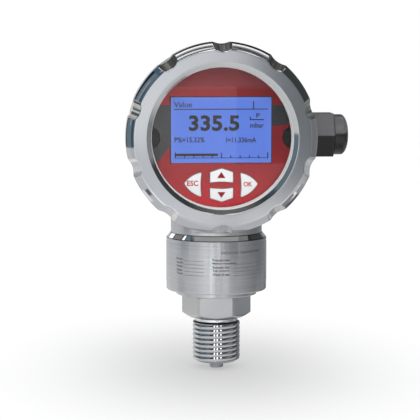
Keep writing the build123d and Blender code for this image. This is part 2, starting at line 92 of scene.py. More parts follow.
# ------------------------------------------------------------------ materials
class Tree:
    def __init__(self, name):
        self.mat = bpy.data.materials.new(name)
        self.mat.use_nodes = True
        self.nt = self.mat.node_tree
        self.nt.nodes.clear()
        self.out = self.nt.nodes.new("ShaderNodeOutputMaterial")

    def n(self, kind, **kw):
        node = self.nt.nodes.new(kind)
        for k, v in kw.items():
            setattr(node, k, v)
        return node

    def link(self, a, b):
        self.nt.links.new(a, b)

    def math(self, op, a, b=None, clamp=False):
        node = self.n("ShaderNodeMath", operation=op, use_clamp=clamp)
        for i, v in enumerate((a, b)):
            if v is None:
                continue
            if isinstance(v, (int, float)):
                node.inputs[i].default_value = v
            else:
                self.link(v, node.inputs[i])
        return node.outputs[0]

    def ramp(self, fac, stops, interp="LINEAR"):
        node = self.n("ShaderNodeValToRGB")
        node.color_ramp.interpolation = interp
        els = node.color_ramp.elements
        while len(els) > 1:
            els.remove(els[-1])
        els[0].position = stops[0][0]
        els[0].color = col(stops[0][1])
        for p, c in stops[1:]:
            e = els.new(p)
            e.color = col(c)
        self.link(fac, node.inputs[0])
        return node.outputs[0]

    def coords(self):
        tc = self.n("ShaderNodeTexCoord")
        sp = self.n("ShaderNodeSeparateXYZ")
        self.link(tc.outputs["Object"], sp.inputs[0])
        return tc.outputs["Object"], sp.outputs[0], sp.outputs[1], sp.outputs[2]

    def combine(self, x, y, z):
        node = self.n("ShaderNodeCombineXYZ")
        for i, v in enumerate((x, y, z)):
            if isinstance(v, (int, float)):
                node.inputs[i].default_value = v
            else:
                self.link(v, node.inputs[i])
        return node.outputs[0]

    def noise(self, vec, scale, detail=3.0, rough=0.55, dist=0.0):
        node = self.n("ShaderNodeTexNoise")
        node.inputs["Scale"].default_value = scale
        node.inputs["Detail"].default_value = detail
        node.inputs["Roughness"].default_value = rough
        node.inputs["Distortion"].default_value = dist
        self.link(vec, node.inputs["Vector"])
        return node.outputs[0]

    def bump(self, height, strength, distance, normal=None):
        node = self.n("ShaderNodeBump")
        node.inputs["Strength"].default_value = strength
        node.inputs["Distance"].default_value = distance
        self.link(height, node.inputs["Height"])
        if normal is not None:
            self.link(normal, node.inputs["Normal"])
        return node.outputs[0]

    def bsdf(self, base=None, metallic=0.0, rough=0.5, ior=1.5, normal=None, coat=0.0, coat_rough=0.1, aniso=0.0, tangent=None,
             emission=None, estr=0.0, spec=None, transmission=0.0):
        b = self.n("ShaderNodeBsdfPrincipled")
        if isinstance(base, (tuple, list)):
            b.inputs["Base Color"].default_value = col(base)
        elif base is not None:
            self.link(base, b.inputs["Base Color"])
        b.inputs["Metallic"].default_value = metallic
        if isinstance(rough, (int, float)):
            b.inputs["Roughness"].default_value = rough
        else:
            self.link(rough, b.inputs["Roughness"])
        b.inputs["IOR"].default_value = ior
        b.inputs["Coat Weight"].default_value = coat
        b.inputs["Coat Roughness"].default_value = coat_rough
        b.inputs["Anisotropic"].default_value = aniso
        b.inputs["Anisotropic Rotation"].default_value = 0.25 if aniso > 0 else 0.0
        b.inputs["Transmission Weight"].default_value = transmission
        if spec is not None:
            b.inputs["Specular IOR Level"].default_value = spec
        if tangent is not None:
            self.link(tangent, b.inputs["Tangent"])
        if normal is not None:
            self.link(normal, b.inputs["Normal"])
        if emission is not None:
            if isinstance(emission, (tuple, list)):
                b.inputs["Emission Color"].default_value = col(emission)
            else:
                self.link(emission, b.inputs["Emission Color"])
            b.inputs["Emission Strength"].default_value = estr
        self.link(b.outputs[0], self.out.inputs[0])
        return b


def col(c):
    if isinstance(c, (int, float)):
        return (c, c, c, 1.0)
    return tuple(c) + (1.0,) if len(c) == 3 else tuple(c)


def srgb(h):
    """#rrggbb to linear."""
    out = []
    for i in (1, 3, 5):
        v = int(h[i:i + 2], 16) / 255.0
        out.append(v / 12.92 if v <= 0.04045 else ((v + 0.055) / 1.055) ** 2.4)
    return tuple(out)


def steel(name, base, rough, axis="Z", cx=0.0, cz=0.0, lines=5200.0, line_rough=0.10, bump=0.05, aniso=0.0, tint=0.04, coarse=900.0, smear=26.0):
    """Machined steel. Fine tool or brush lines run round the given axis; lines per metre sets how close they lie."""
    t = Tree(name)
    vec, x, y, z = t.coords()
    if axis == "Z":
        ang = t.math("ARCTAN2", t.math("SUBTRACT", x, cx * MM), y)
        across = z
        rad = t.math("SQRT", t.math("ADD", t.math("MULTIPLY", x, x), t.math("MULTIPLY", y, y)))
    else:
        dz = t.math("SUBTRACT", z, cz * MM)
        ang = t.math("ARCTAN2", x, dz)
        rad = t.math("SQRT", t.math("ADD", t.math("MULTIPLY", x, x), t.math("MULTIPLY", dz, dz)))
        across = y
    # the distance along a section: height plus radius keeps the lines on flat faces too
    sect = t.math("ADD", across, rad)
    v1 = t.combine(t.math("MULTIPLY", ang, smear / 10.0), t.math("MULTIPLY", sect, lines), 0.0)
    v2 = t.combine(t.math("MULTIPLY", ang, smear / 26.0), t.math("MULTIPLY", sect, coarse), 3.7)
    fine = t.noise(v1, 1.0, 2.0, 0.6)
    wide = t.noise(v2, 1.0, 3.0, 0.6)
    cloud = t.noise(vec, 60.0, 3.0, 0.5)
    h = t.math("ADD", t.math("MULTIPLY", fine, 0.6), t.math("MULTIPLY", wide, 0.4))
    r = t.math("ADD", rough - line_rough * 0.55, t.math("MULTIPLY", h, line_rough))
    r = t.math("ADD", r, t.math("MULTIPLY", t.math("SUBTRACT", cloud, 0.5), 0.04), clamp=True)
    tone = t.math("ADD", t.math("MULTIPLY", wide, 0.75), t.math("MULTIPLY", cloud, 0.25))
    c = t.ramp(tone, [(0.3, tuple(v * (1 - tint) for v in base)), (0.7, tuple(min(1.0, v * (1 + tint)) for v in base))])
    nrm = t.bump(h, bump, 0.00006) if bump > 0 else None
    tan_node = None
    if aniso > 0:
        tg = t.n("ShaderNodeTangent", direction_type="RADIAL", axis=axis)
        tan_node = tg.outputs[0]
    t.bsdf(c, 1.0, r, normal=nrm, aniso=aniso, tangent=tan_node)
    return t.mat


def plastic(name, base, rough, grain=2600.0, bump=0.12, coat=0.0, spec=None, tint=0.12, metallic=0.0):
    t = Tree(name)
    vec, x, y, z = t.coords()
    g = t.noise(vec, grain, 4.0, 0.6)
    big = t.noise(vec, 120.0, 3.0, 0.5)
    c = t.ramp(big, [(0.3, tuple(v * (1 - tint) for v in base)), (0.7, tuple(min(1.0, v * (1 + tint)) for v in base))])
    r = t.math("ADD", rough - 0.05, t.math("MULTIPLY", g, 0.10))
    nrm = t.bump(g, bump, 0.00005)
    t.bsdf(c, metallic, r, normal=nrm, coat=coat, spec=spec)
    return t.mat


STEEL = (0.60, 0.61, 0.625)
M_BODY = steel("brushed_body", (0.62, 0.625, 0.64), 0.21, lines=5200, line_rough=0.08, bump=0.06, aniso=0.95, tint=0.05, coarse=1500)
M_LABEL = steel("brushed_label", (0.62, 0.63, 0.65), 0.21, lines=5200, line_rough=0.08, bump=0.06, aniso=0.95, tint=0.08, coarse=1900)
M_NECK = steel("satin_neck", (0.62, 0.625, 0.635), 0.20, lines=5200, line_rough=0.06, bump=0.04, aniso=0.6, tint=0.03)
M_POLISH = steel("polished_steel", (0.66, 0.67, 0.68), 0.07, lines=4200, line_rough=0.03, bump=0.012, tint=0.02)
M_TURNED = steel("turned_steel", (0.62, 0.625, 0.63), 0.22, lines=6000, line_rough=0.08, bump=0.05, aniso=0.2, tint=0.03)
M_HEX = steel("hexagon_steel", (0.60, 0.605, 0.61), 0.26, lines=5200, line_rough=0.08, bump=0.03, tint=0.03, smear=60)
M_THREAD = steel("thread_steel", (0.64, 0.645, 0.65), 0.055, lines=5200, line_rough=0.03, bump=0.0, tint=0.02)
M_SHELL = steel("shell_steel", (0.60, 0.605, 0.615), 0.22, axis="Y", cz=HEAD_Z, lines=4800, line_rough=0.08, bump=0.05, aniso=0.3, tint=0.03)
M_RINGFACE = steel("ring_face_steel", (0.625, 0.643, 0.672), 0.21, axis="Y", cz=HEAD_Z, lines=5200, line_rough=0.05, bump=0.03, aniso=0.0, tint=0.015)
M_RINGSIDE = steel("ring_side_steel", (0.66, 0.67, 0.69), 0.08, axis="Y", cz=HEAD_Z, lines=4200, line_rough=0.03, bump=0.012, tint=0.02)
M_BEVEL = steel("ring_bevel_steel", (0.68, 0.69, 0.69), 0.09, axis="Y", cz=HEAD_Z, lines=4200, line_rough=0.03, bump=0.012, tint=0.02)
# pale matt colours for the rim and the lip: painted highlights standing in for the polished steel edge
M_RIM_PAINTED_HIGHLIGHT = plastic("window_rim_painted_highlight", (0.86, 0.89, 0.88), 0.5, bump=0.02, tint=0.01)
M_LIP_PAINTED_HIGHLIGHT = plastic("ring_lip_painted_highlight", (0.78, 0.815, 0.80), 0.40, bump=0.02, tint=0.01)
# darker and brighter copies of the steel: painted shade on the spigot, the thread groove and the body chamfer edges, a
# painted highlight on the thread relief
M_SPIGOT_PAINTED_SHADE = steel("spigot_painted_shade", (0.33, 0.335, 0.34), 0.14, lines=4200, line_rough=0.05, bump=0.02, tint=0.03)
M_RELIEF_PAINTED_HIGHLIGHT = steel("relief_painted_highlight", (0.90, 0.90, 0.90), 0.10, lines=4200, line_rough=0.03, bump=0.01, tint=0.02)
M_GROOVE_PAINTED_SHADE = steel("groove_painted_shade", (0.055, 0.062, 0.07), 0.25, lines=4200, line_rough=0.03, bump=0.01, tint=0.02)
M_EDGE_PAINTED_SHADE = steel("body_edge_painted_shade", (0.17, 0.18, 0.19), 0.22, lines=4200, line_rough=0.03, bump=0.012, tint=0.02)
M_SCREW = steel("screw_steel", (0.58, 0.58, 0.58), 0.25, bump=0.04)
M_BRASS = steel("brass_bar", (0.72, 0.52, 0.24), 0.24, bump=0.04)
M_RUBBER = plastic("seal_rubber", (0.016, 0.016, 0.017), 0.55, bump=0.10)
M_MOULD = plastic("black_moulding", (0.022, 0.023, 0.024), 0.48, bump=0.2)
M_KEYRED = plastic("key_print_red", (0.27, 0.001, 0.005), 0.8, bump=0.02, tint=0.03, spec=0.0)
M_LEGEND = plastic("key_legend_red", (0.50, 0.003, 0.012), 0.8, bump=0.02, tint=0.03, spec=0.0)
# dark red meant for a painted shade line round the keys; not used
M_KEYLINE = plastic("key_outline", srgb("#6e1a20"), 0.45, bump=0.02, tint=0.03)
M_BOARD = plastic("board_green", (0.010, 0.085, 0.040), 0.42, bump=0.05)
M_TERM = plastic("terminal_green", (0.02, 0.18, 0.06), 0.45, bump=0.05)
M_RIBBON = plastic("ribbon_grey", (0.34, 0.34, 0.36), 0.5, bump=0.05)
M_LIGHTGUIDE = plastic("light_guide", (0.75, 0.8, 0.88), 0.3, bump=0.02)
M_INK = plastic("segment_ink", (0.026, 0.023, 0.012), 0.5, bump=0.02)
M_BORDER = plastic("window_border", (0.016, 0.020, 0.045), 0.5, bump=0.02)
M_PRINT = plastic("label_print", (0.042, 0.045, 0.052), 0.7, bump=0.02, spec=0.2)
M_RULE = plastic("label_rule", (0.075, 0.08, 0.085), 0.8, bump=0.02, spec=0.1)


def nylon_with_painted_top_sheen():
    """Black moulded nylon, painted grey where it faces up as a painted sheen of light from above."""
    t = Tree("black_nylon")
    vec, x, y, z = t.coords()
    g = t.noise(vec, 2600.0, 4.0, 0.6)
    d = t.noise(vec, 420.0, 3.0, 0.55)
    geo = t.n("ShaderNodeNewGeometry")
    sp_ = t.n("ShaderNodeSeparateXYZ")
    t.link(geo.outputs["Normal"], sp_.inputs[0])
    # painted sheen: the colour turns grey where the normal points up, lightly varied by noise
    up = t.math("ADD", sp_.outputs[2], t.math("MULTIPLY", t.math("SUBTRACT", d, 0.5), 0.05))
    c = t.ramp(up, [(0.0, (0.0058, 0.0058, 0.0063)), (0.05, (0.007, 0.007, 0.0075)), (0.13, (0.094, 0.092, 0.100)), (0.86, (0.088, 0.086, 0.093)), (1.0, (0.044, 0.044, 0.047))])
    r = t.math("ADD", 0.31, t.math("MULTIPLY", g, 0.10))
    t.bsdf(c, 0.0, r, normal=t.bump(g, 0.10, 0.00005), spec=0.66)
    return t.mat


def notch_painted_reflection_material():
    """The scallops of the cover: stripes across them, bumped slightly like mill marks, coloured with painted
    reflections: dark towards the top of the ring, beige and dark at mid height (greyer on the right) and pale below.
    """
    t = Tree("ring_notch_painted_reflections")
    vec, x, y, z = t.coords()
    dz = t.math("SUBTRACT", z, HEAD_Z * MM)
    ang = t.math("ARCTAN2", x, dz)
    s = t.noise(t.combine(t.math("MULTIPLY", ang, 26.0), t.math("MULTIPLY", y, 30.0), 1.3), 1.0, 2.0, 0.6)
    # painted reflections: each band of height gets its own stripe colours
    top = t.ramp(s, [(0.36, (0.055, 0.058, 0.052)), (0.62, (0.15, 0.152, 0.14))])
    mid = t.ramp(s, [(0.44, (0.12, 0.15, 0.17)), (0.54, (0.86, 0.80, 0.72))])
    mid_r = t.ramp(s, [(0.40, (0.07, 0.075, 0.078)), (0.60, (0.34, 0.345, 0.34))])
    low = t.ramp(s, [(0.36, (0.54, 0.55, 0.57)), (0.64, (0.68, 0.68, 0.69))])

    def mix(f, a, b):
        node = t.n("ShaderNodeMix", data_type="RGBA")
        t.link(f, node.inputs[0])
        t.link(a, node.inputs[6])
        t.link(b, node.inputs[7])
        return node.outputs[2]
    f1 = t.math("DIVIDE", t.math("SUBTRACT", dz, 2.0 * MM), 4.0 * MM, clamp=True)
    f2 = t.math("DIVIDE", t.math("SUBTRACT", dz, 18.5 * MM), 3.0 * MM, clamp=True)
    right = t.math("ADD", 0.5, t.math("DIVIDE", x, 10.0 * MM), clamp=True)
    c = mix(f2, mix(f1, low, mix(right, mid, mid_r)), top)
    t.bsdf(c, 0.62, 0.16, normal=t.bump(s, 0.04, 0.00006), spec=0.3)
    return t.mat


M_NOTCH_PAINTED_REFLECTION = notch_painted_reflection_material()


def key_material_painted_gap_shade():
    """White caps whose bevelled edges are painted dark red as the shade of the gap round them."""
    t = Tree("key_white")
    vec, x, y, z = t.coords()
    g = t.noise(vec, 900.0, 3.0, 0.6)
    geo = t.n("ShaderNodeNewGeometry")
    sp_ = t.n("ShaderNodeSeparateXYZ")
    t.link(geo.outputs["Normal"], sp_.inputs[0])
    # flat is 1 on the front face; the bevels take the dark red of the painted gap shade
    flat = t.math("DIVIDE", t.math("SUBTRACT", t.math("ABSOLUTE", sp_.outputs[1]), 0.955), 0.03, clamp=True)
    white = t.ramp(g, [(0.3, (0.85, 0.86, 0.87)), (0.7, (0.88, 0.885, 0.90))])
    node = t.n("ShaderNodeMix", data_type="RGBA")
    t.link(flat, node.inputs[0])
    node.inputs[6].default_value = (0.115, 0.030, 0.036, 1)
    t.link(white, node.inputs[7])
    t.bsdf(node.outputs[2], 0.0, 0.38, normal=t.bump(g, 0.03, 0.00005))
    return t.mat


M_KEY = key_material_painted_gap_shade()
M_NYLON = nylon_with_painted_top_sheen()


def glass_material():
    t = Tree("window_glass")
    tr = t.n("ShaderNodeBsdfTransparent")
    tr.inputs[0].default_value = (0.940, 0.945, 0.9435, 1)
    gl = t.n("ShaderNodeBsdfGlossy")
    gl.inputs["Color"].default_value = (1, 1, 1, 1)
    gl.inputs["Roughness"].default_value = 0.02
    fr = t.n("ShaderNodeFresnel")
    fr.inputs["IOR"].default_value = 1.27
    mix = t.n("ShaderNodeMixShader")
    # both faces of the pane are counted at the one that faces out
    geo = t.n("ShaderNodeNewGeometry")
    out = t.math("SUBTRACT", 1.0, geo.outputs["Backfacing"])
    t.link(t.math("MULTIPLY", t.math("MULTIPLY", fr.outputs[0], 2.0), out, clamp=True), mix.inputs[0])
    t.link(tr.outputs[0], mix.inputs[1])
    t.link(gl.outputs[0], mix.inputs[2])
    t.link(mix.outputs[0], t.out.inputs[0])
    return t.mat


M_GLASS = glass_material()


def lcd_material():
    t = Tree("lcd_blue")
    vec, x, y, z = t.coords()
    # lit a little unevenly: brighter along the edge of the light guide
    u = t.math("ABSOLUTE", t.math("DIVIDE", x, 21.4 * MM))
    v = t.math("ABSOLUTE", t.math("DIVIDE", t.math("SUBTRACT", z, 83.95 * MM), 13.95 * MM))
    e = t.math("MAXIMUM", t.math("POWER", u, 12.0), t.math("POWER", v, 10.0))
    px = t.n("ShaderNodeTexBrick")
    px.inputs["Scale"].default_value = 1.0
    px.offset = 0.0
    px.inputs["Color1"].default_value = (1, 1, 1, 1)
    px.inputs["Color2"].default_value = (0.985, 0.985, 0.985, 1)
    px.inputs["Mortar"].default_value = (0.95, 0.95, 0.95, 1)
    px.inputs["Mortar Size"].default_value = 0.012
    px.inputs["Brick Width"].default_value = 0.33
    px.inputs["Row Height"].default_value = 0.33
    t.link(t.combine(t.math("MULTIPLY", x, 1000.0), t.math("MULTIPLY", z, 1000.0), 0.0), px.inputs["Vector"])
    c = t.ramp(e, [(0.0, srgb("#5374d0")), (0.6, srgb("#597ad6")), (1.0, srgb("#648ae5"))])
    mul = t.n("ShaderNodeMix", data_type="RGBA", blend_type="MULTIPLY")
    mul.inputs[0].default_value = 1.0
    t.link(c, mul.inputs[6])
    t.link(px.outputs[0], mul.inputs[7])
    b = t.bsdf(mul.outputs[2], 0.0, 0.25, emission=mul.outputs[2], estr=0.20)
    return t.mat


M_LCD = lcd_material()


def red_material_with_painted_shade():
    """Printed film on a bright plate: red with a satin metallic skin; the red is brightest at the foot and darker and
    greyer towards the top, as painted light and shade.
    """
    t = Tree("plate_red")
    vec, x, y, z = t.coords()
    v = t.math("DIVIDE", t.math("SUBTRACT", z, HEAD_Z * MM), 30.0 * MM)
    g = t.math("ADD", t.math("MULTIPLY", v, 0.45), 0.5)
    # painted light and shade: bright red at the foot, deeper red in the middle, greyer red at the top
    c = t.ramp(g, [(0.09, (0.62, 0.022, 0.032)), (0.15, (0.52, 0.034, 0.042)), (0.26, (0.42, 0.036, 0.043)), (0.50, (0.37, 0.036, 0.042)), (0.80, (0.38, 0.040, 0.042)), (0.835, (0.40, 0.100, 0.108)), (1.0, (0.40, 0.115, 0.122))])
    grain = t.noise(vec, 3000.0, 3.0, 0.6)
    r = t.math("ADD", 0.07, t.math("MULTIPLY", grain, 0.06))
    t.bsdf(c, 0.55, r, normal=t.bump(grain, 0.03, 0.00002), spec=0.25)
    return t.mat


M_RED = red_material_with_painted_shade()
M_GREY = plastic("plate_grey", srgb("#4c4c4e"), 0.12, bump=0.02, tint=0.03, metallic=0.55)
M_GRIPRIM = plastic("grip_rim", srgb("#2b2b2c"), 0.45, bump=0.05)


# ------------------------------------------------------------------ mesh helpers
def finish_mesh(name, verts, faces, mats, body, replaces=(), slot=None, smooth=35.0, face_mats=None, merge=2e-7):
    """verts are in mm."""
    me = bpy.data.meshes.new(name)
    me.from_pydata([(v[0] * MM, v[1] * MM, v[2] * MM) for v in verts], [], faces)
    for mt in mats:
        me.materials.append(mt)
    if face_mats is not None:
        for p, k in zip(me.polygons, face_mats):
            p.material_index = k
    bm = bmesh.new()
    bm.from_mesh(me)
    bmesh.ops.remove_doubles(bm, verts=bm.verts, dist=merge)
    bmesh.ops.dissolve_degenerate(bm, dist=merge * 0.5, edges=bm.edges)
    bmesh.ops.recalc_face_normals(bm, faces=bm.faces)
    bm.to_mesh(me)
    bm.free()
    me.shade_smooth()
    me.set_sharp_from_angle(angle=radians(smooth))
    ob = bpy.data.objects.new(name, me)
    scene.collection.objects.link(ob)
    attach(ob, body)
    if replaces:
        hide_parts(*replaces)
    return ob


def fillet_path(pts, closed=False):
    """pts are (a, b, radius). Returns the path with each corner rounded by short arcs."""
    out = []
    n = len(pts)
    for i in range(n):
        a, b, r = pts[i]
        if r <= 0 or (not closed and i in (0, n - 1)):
            out.append((a, b))
            continue
        p = Vector((a, b))
        q0 = Vector(pts[i - 1][:2])
        q1 = Vector(pts[(i + 1) % n][:2])
        d0, d1 = (q0 - p), (q1 - p)
        l0, l1 = d0.length, d1.length
        d0.normalize()
        d1.normalize()
        ang = d0.angle(d1)
        if ang > pi - 0.02:
            out.append((a, b))
            continue
        t = min(r / tan(ang / 2), l0 * 0.49, l1 * 0.49)
        r = t * tan(ang / 2)
        centre = p + (d0 + d1).normalized() * (r / sin(ang / 2))
        s, e = p + d0 * t, p + d1 * t
        a0, a1 = atan2(s.y - centre.y, s.x - centre.x), atan2(e.y - centre.y, e.x - centre.x)
        da = (a1 - a0 + pi) % (2 * pi) - pi
        k = max(2, int(abs(da) / radians(15)) + 1)
        for j in range(k + 1):
            w = a0 + da * j / k
            out.append((centre.x + r * cos(w), centre.y + r * sin(w)))
    return out


def place(axis, r, t, th, cz):
    """A point of a turned part: r from the axis, t along it, th round it."""
    if axis == "Z":
        return (r * sin(th), -r * cos(th), t)
    if axis == "Y":
        return (r * sin(th), t, cz + r * cos(th))
    return (t, -r * cos(th), cz + r * sin(th))


def lathe(name, path, axis, segs, mats, body, cz=0.0, mat_of=None, **kw):
    """A closed path of (r, t) turned about the axis."""
    n = len(path)
    verts, faces, fm = [], [], []
    for j in range(segs):
        th = 2 * pi * j / segs
        for r, t in path:
            verts.append(place(axis, max(r, 0.0), t, th, cz))
    for j in range(segs):
        j2 = (j + 1) % segs
        for i in range(n):
            i2 = (i + 1) % n
            if path[i][0] <= 1e-6 and path[i2][0] <= 1e-6:
                continue
            faces.append((j * n + i, j * n + i2, j2 * n + i2, j2 * n + i))
            fm.append(mat_of(path[i], path[i2]) if mat_of else 0)
    return finish_mesh(name, verts, faces, mats, body, face_mats=fm if mat_of else None, **kw)


# ------------------------------------------------------------------ cover ring with its ten scallops
RF, RR_, RFACE, ROPEN, ROUT, YT = -36.0, -20.95, 37.7, 31.93, 40.6, -31.2
NF, NR = 36.1, 39.6
SL = atan2(NR - NF, 5.7)


def scallop(th, y):
    """Radius that the scallop leaves at this angle and depth, or a large number away from it."""
    d = (th + radians(18)) % radians(36) - radians(18)
    best = 99.0
    ra = 9.0
    rc = NR + ra
    k = ra * ra - (rc * sin(d)) ** 2
    if k > 0:
        best = min(best, rc * cos(d) - sqrt(k))
    rb = 7.6
    a = rb / cos(SL)
    rc = NF + (y - RF) * tan(SL) + a
    # (r sin d / rb)^2 + ((r cos d - rc) / a)^2 = 1
    A = (sin(d) / rb) ** 2 + (cos(d) / a) ** 2
    B = -2 * rc * cos(d) / (a * a)
    C = (rc / a) ** 2 - 1
    k = B * B - 4 * A * C
    if k > 0 and abs(d) < radians(13):
        best = min(best, (-B - sqrt(k)) / (2 * A))
    return best


def smin(a, b, k):
    h = max(0.0, min(1.0, 0.5 + 0.5 * (b - a) / k))
    return b * (1 - h) + a * h - k * h * (1 - h)


def subdivide(p0, p1, n):
    return [(p0[0] + (p1[0] - p0[0]) * i / n, p0[1] + (p1[1] - p0[1]) * i / n) for i in range(n)]


def make_ring():
    slope = 0.30 / (37.2 - ROPEN)
    prof = [(37.2, -35.7), (37.45, -35.66), (37.62, -35.53), (37.8, -35.28), (40.44, -31.46), (40.55, -31.25), (40.6, -31.0), (40.6, RR_)]

    def p_side(y):
        # the tapered side is very slightly crowned
        crown = 0.16 * sin(pi * (y + 35.28) / 3.82) if -35.28 < y < -31.46 else 0.0
        for (r0, y0), (r1, y1) in zip(prof, prof[1:]):
            if y <= y1:
                return r0 + (r1 - r0) * (y - y0) / (y1 - y0) + crown
        return ROUT

    def outer(th, y):
        c = scallop(th, y)
        p = p_side(y)
        return smin(p, c, 0.22) if c < 60 else p

    face_y = lambda r: RF + (r - ROPEN) * slope
    ys_rel = [0.0, 0.10, 0.22, 0.36, 0.52] + [0.70 + 0.17 * i for i in range(24)]
    ys_rear = [-30.6, -30.2, -29.6, -28.8, -27.6, -26.2, -24.8, -23.4, -22.4, -21.7]
    ths = []
    for k in range(10):
        c = radians(36.0 * k)
        offs = [-18, -16, -14, -12, -10.2, -9.0, -8.2] + [-7.6 + 0.24 * i for i in range(64)] + [8.2, 9.0, 10.2, 12, 14, 16]
        ths += [c + radians(o) for o in offs]
    verts, faces, fm = [], [], []
    tags = []
    for th in ths:
        rc = 37.2
        c = scallop(th, face_y(37.2))
        if c < 37.2:
            lo, hi = 34.0, 37.2
            for _ in range(30):
                m = (lo + hi) / 2
                if scallop(th, face_y(m)) > m:
                    lo = m
                else:
                    hi = m
            rc = lo
        yc = face_y(rc)
        pts, tg = [], []
        # face, out to where the rounding starts
        rho = 0.20
        r_end = rc - rho
        for i in range(9):
            f = i / 8.0
            r = ROPEN + 0.14 + (r_end - ROPEN - 0.14) * f
            pts.append((r, face_y(r)))
            tg.append(0)
        # rounding: a quarter turn from the face onto the outer boundary
        for i in range(1, 6):
            a = i / 6.0 * pi / 2
            y = yc + rho * (1 - cos(a))
            r = min(r_end + rho * sin(a), outer(th, y)) if i < 5 else outer(th, y)
            r = r_end + (min(outer(th, yc + rho), rc + 0.25) - r_end) * sin(a)
            pts.append((r, y))
            tg.append(1)
        for dy in ys_rel[2:]:
            y = yc + rho + dy - 0.16
            if y > -30.7:
                y = -30.7 - 0.01 * (24 - ys_rel.index(dy))
            pts.append((outer(th, y), y))
            tg.append(4 if scallop(th, y) < p_side(y) - 0.03 else 1)
        for y in ys_rear:
            pts.append((outer(th, y), y))
            tg.append(4 if scallop(th, y) < p_side(y) - 0.03 else 1)
        rr = outer(th, -21.5)
        for a in (0, 15, 30, 45, 60, 75, 90):
            pts.append((rr - 0.45 + 0.45 * cos(radians(a)), RR_ - 0.45 + 0.45 * sin(radians(a))))
            tg.append(1)
        for q in [(38.55, RR_), (38.55, -22.75), (37.05, -22.75), (37.05, -26.4), (33.65, -26.4), (33.65, -28.7), (32.5, -28.7), (32.5, -32.1), (29.9, -32.1)]:
            pts.append(q)
            tg.append(1)
        # the lip inside the opening: pale matt, a painted highlight for its polished edge
        for q in [(29.82, -32.13), (29.8, -32.25), (29.81, -32.5), (29.87, -33.6), (29.95, -34.40), (29.98, -34.52)]:
            pts.append(q)
            tg.append(3)
        for q in [(30.02, -34.60), (30.08, -34.66), (30.9, -35.235), (31.4, -35.607), (31.80, -35.905), (31.86, -35.95), (31.94, -35.985)]:
            pts.append(q)
            tg.append(2)
        tags.append(tg)
        n = len(pts)
        for r, y in pts:
            verts.append(place("Y", r, y, th, HEAD_Z))
    m_ = len(ths)
    for j in range(m_):
        j2 = (j + 1) % m_
        for i in range(n):
            i2 = (i + 1) % n
            faces.append((j * n + i, j * n + i2, j2 * n + i2, j2 * n + i))
            fm.append(tags[j][i] if tags[j][i] != 0 or i < 8 else 1)
    return finish_mesh("cover_ring_finished", verts, faces, [M_RINGFACE, M_RINGSIDE, M_BEVEL, M_LIP_PAINTED_HIGHLIGHT, M_NOTCH_PAINTED_REFLECTION], "cover", replaces=("cover_ring",),
                       slot="cover_steel", smooth=34.0, face_mats=fm)


make_ring()
# a pale ring behind the rim of the window, a painted highlight for the bright inner edge of the metal lip
lathe("window_border", [(29.62, -28.69), (32.3, -28.69), (32.3, -28.30), (29.72, -28.30), (29.62, -28.36)], "Y", 160, [M_RIM_PAINTED_HIGHLIGHT], "cover", cz=HEAD_Z,
      slot="cover_steel", smooth=40)

# ------------------------------------------------------------------ process connection: hexagon, thread and spigot
HEX_TURN = radians(-4.3)


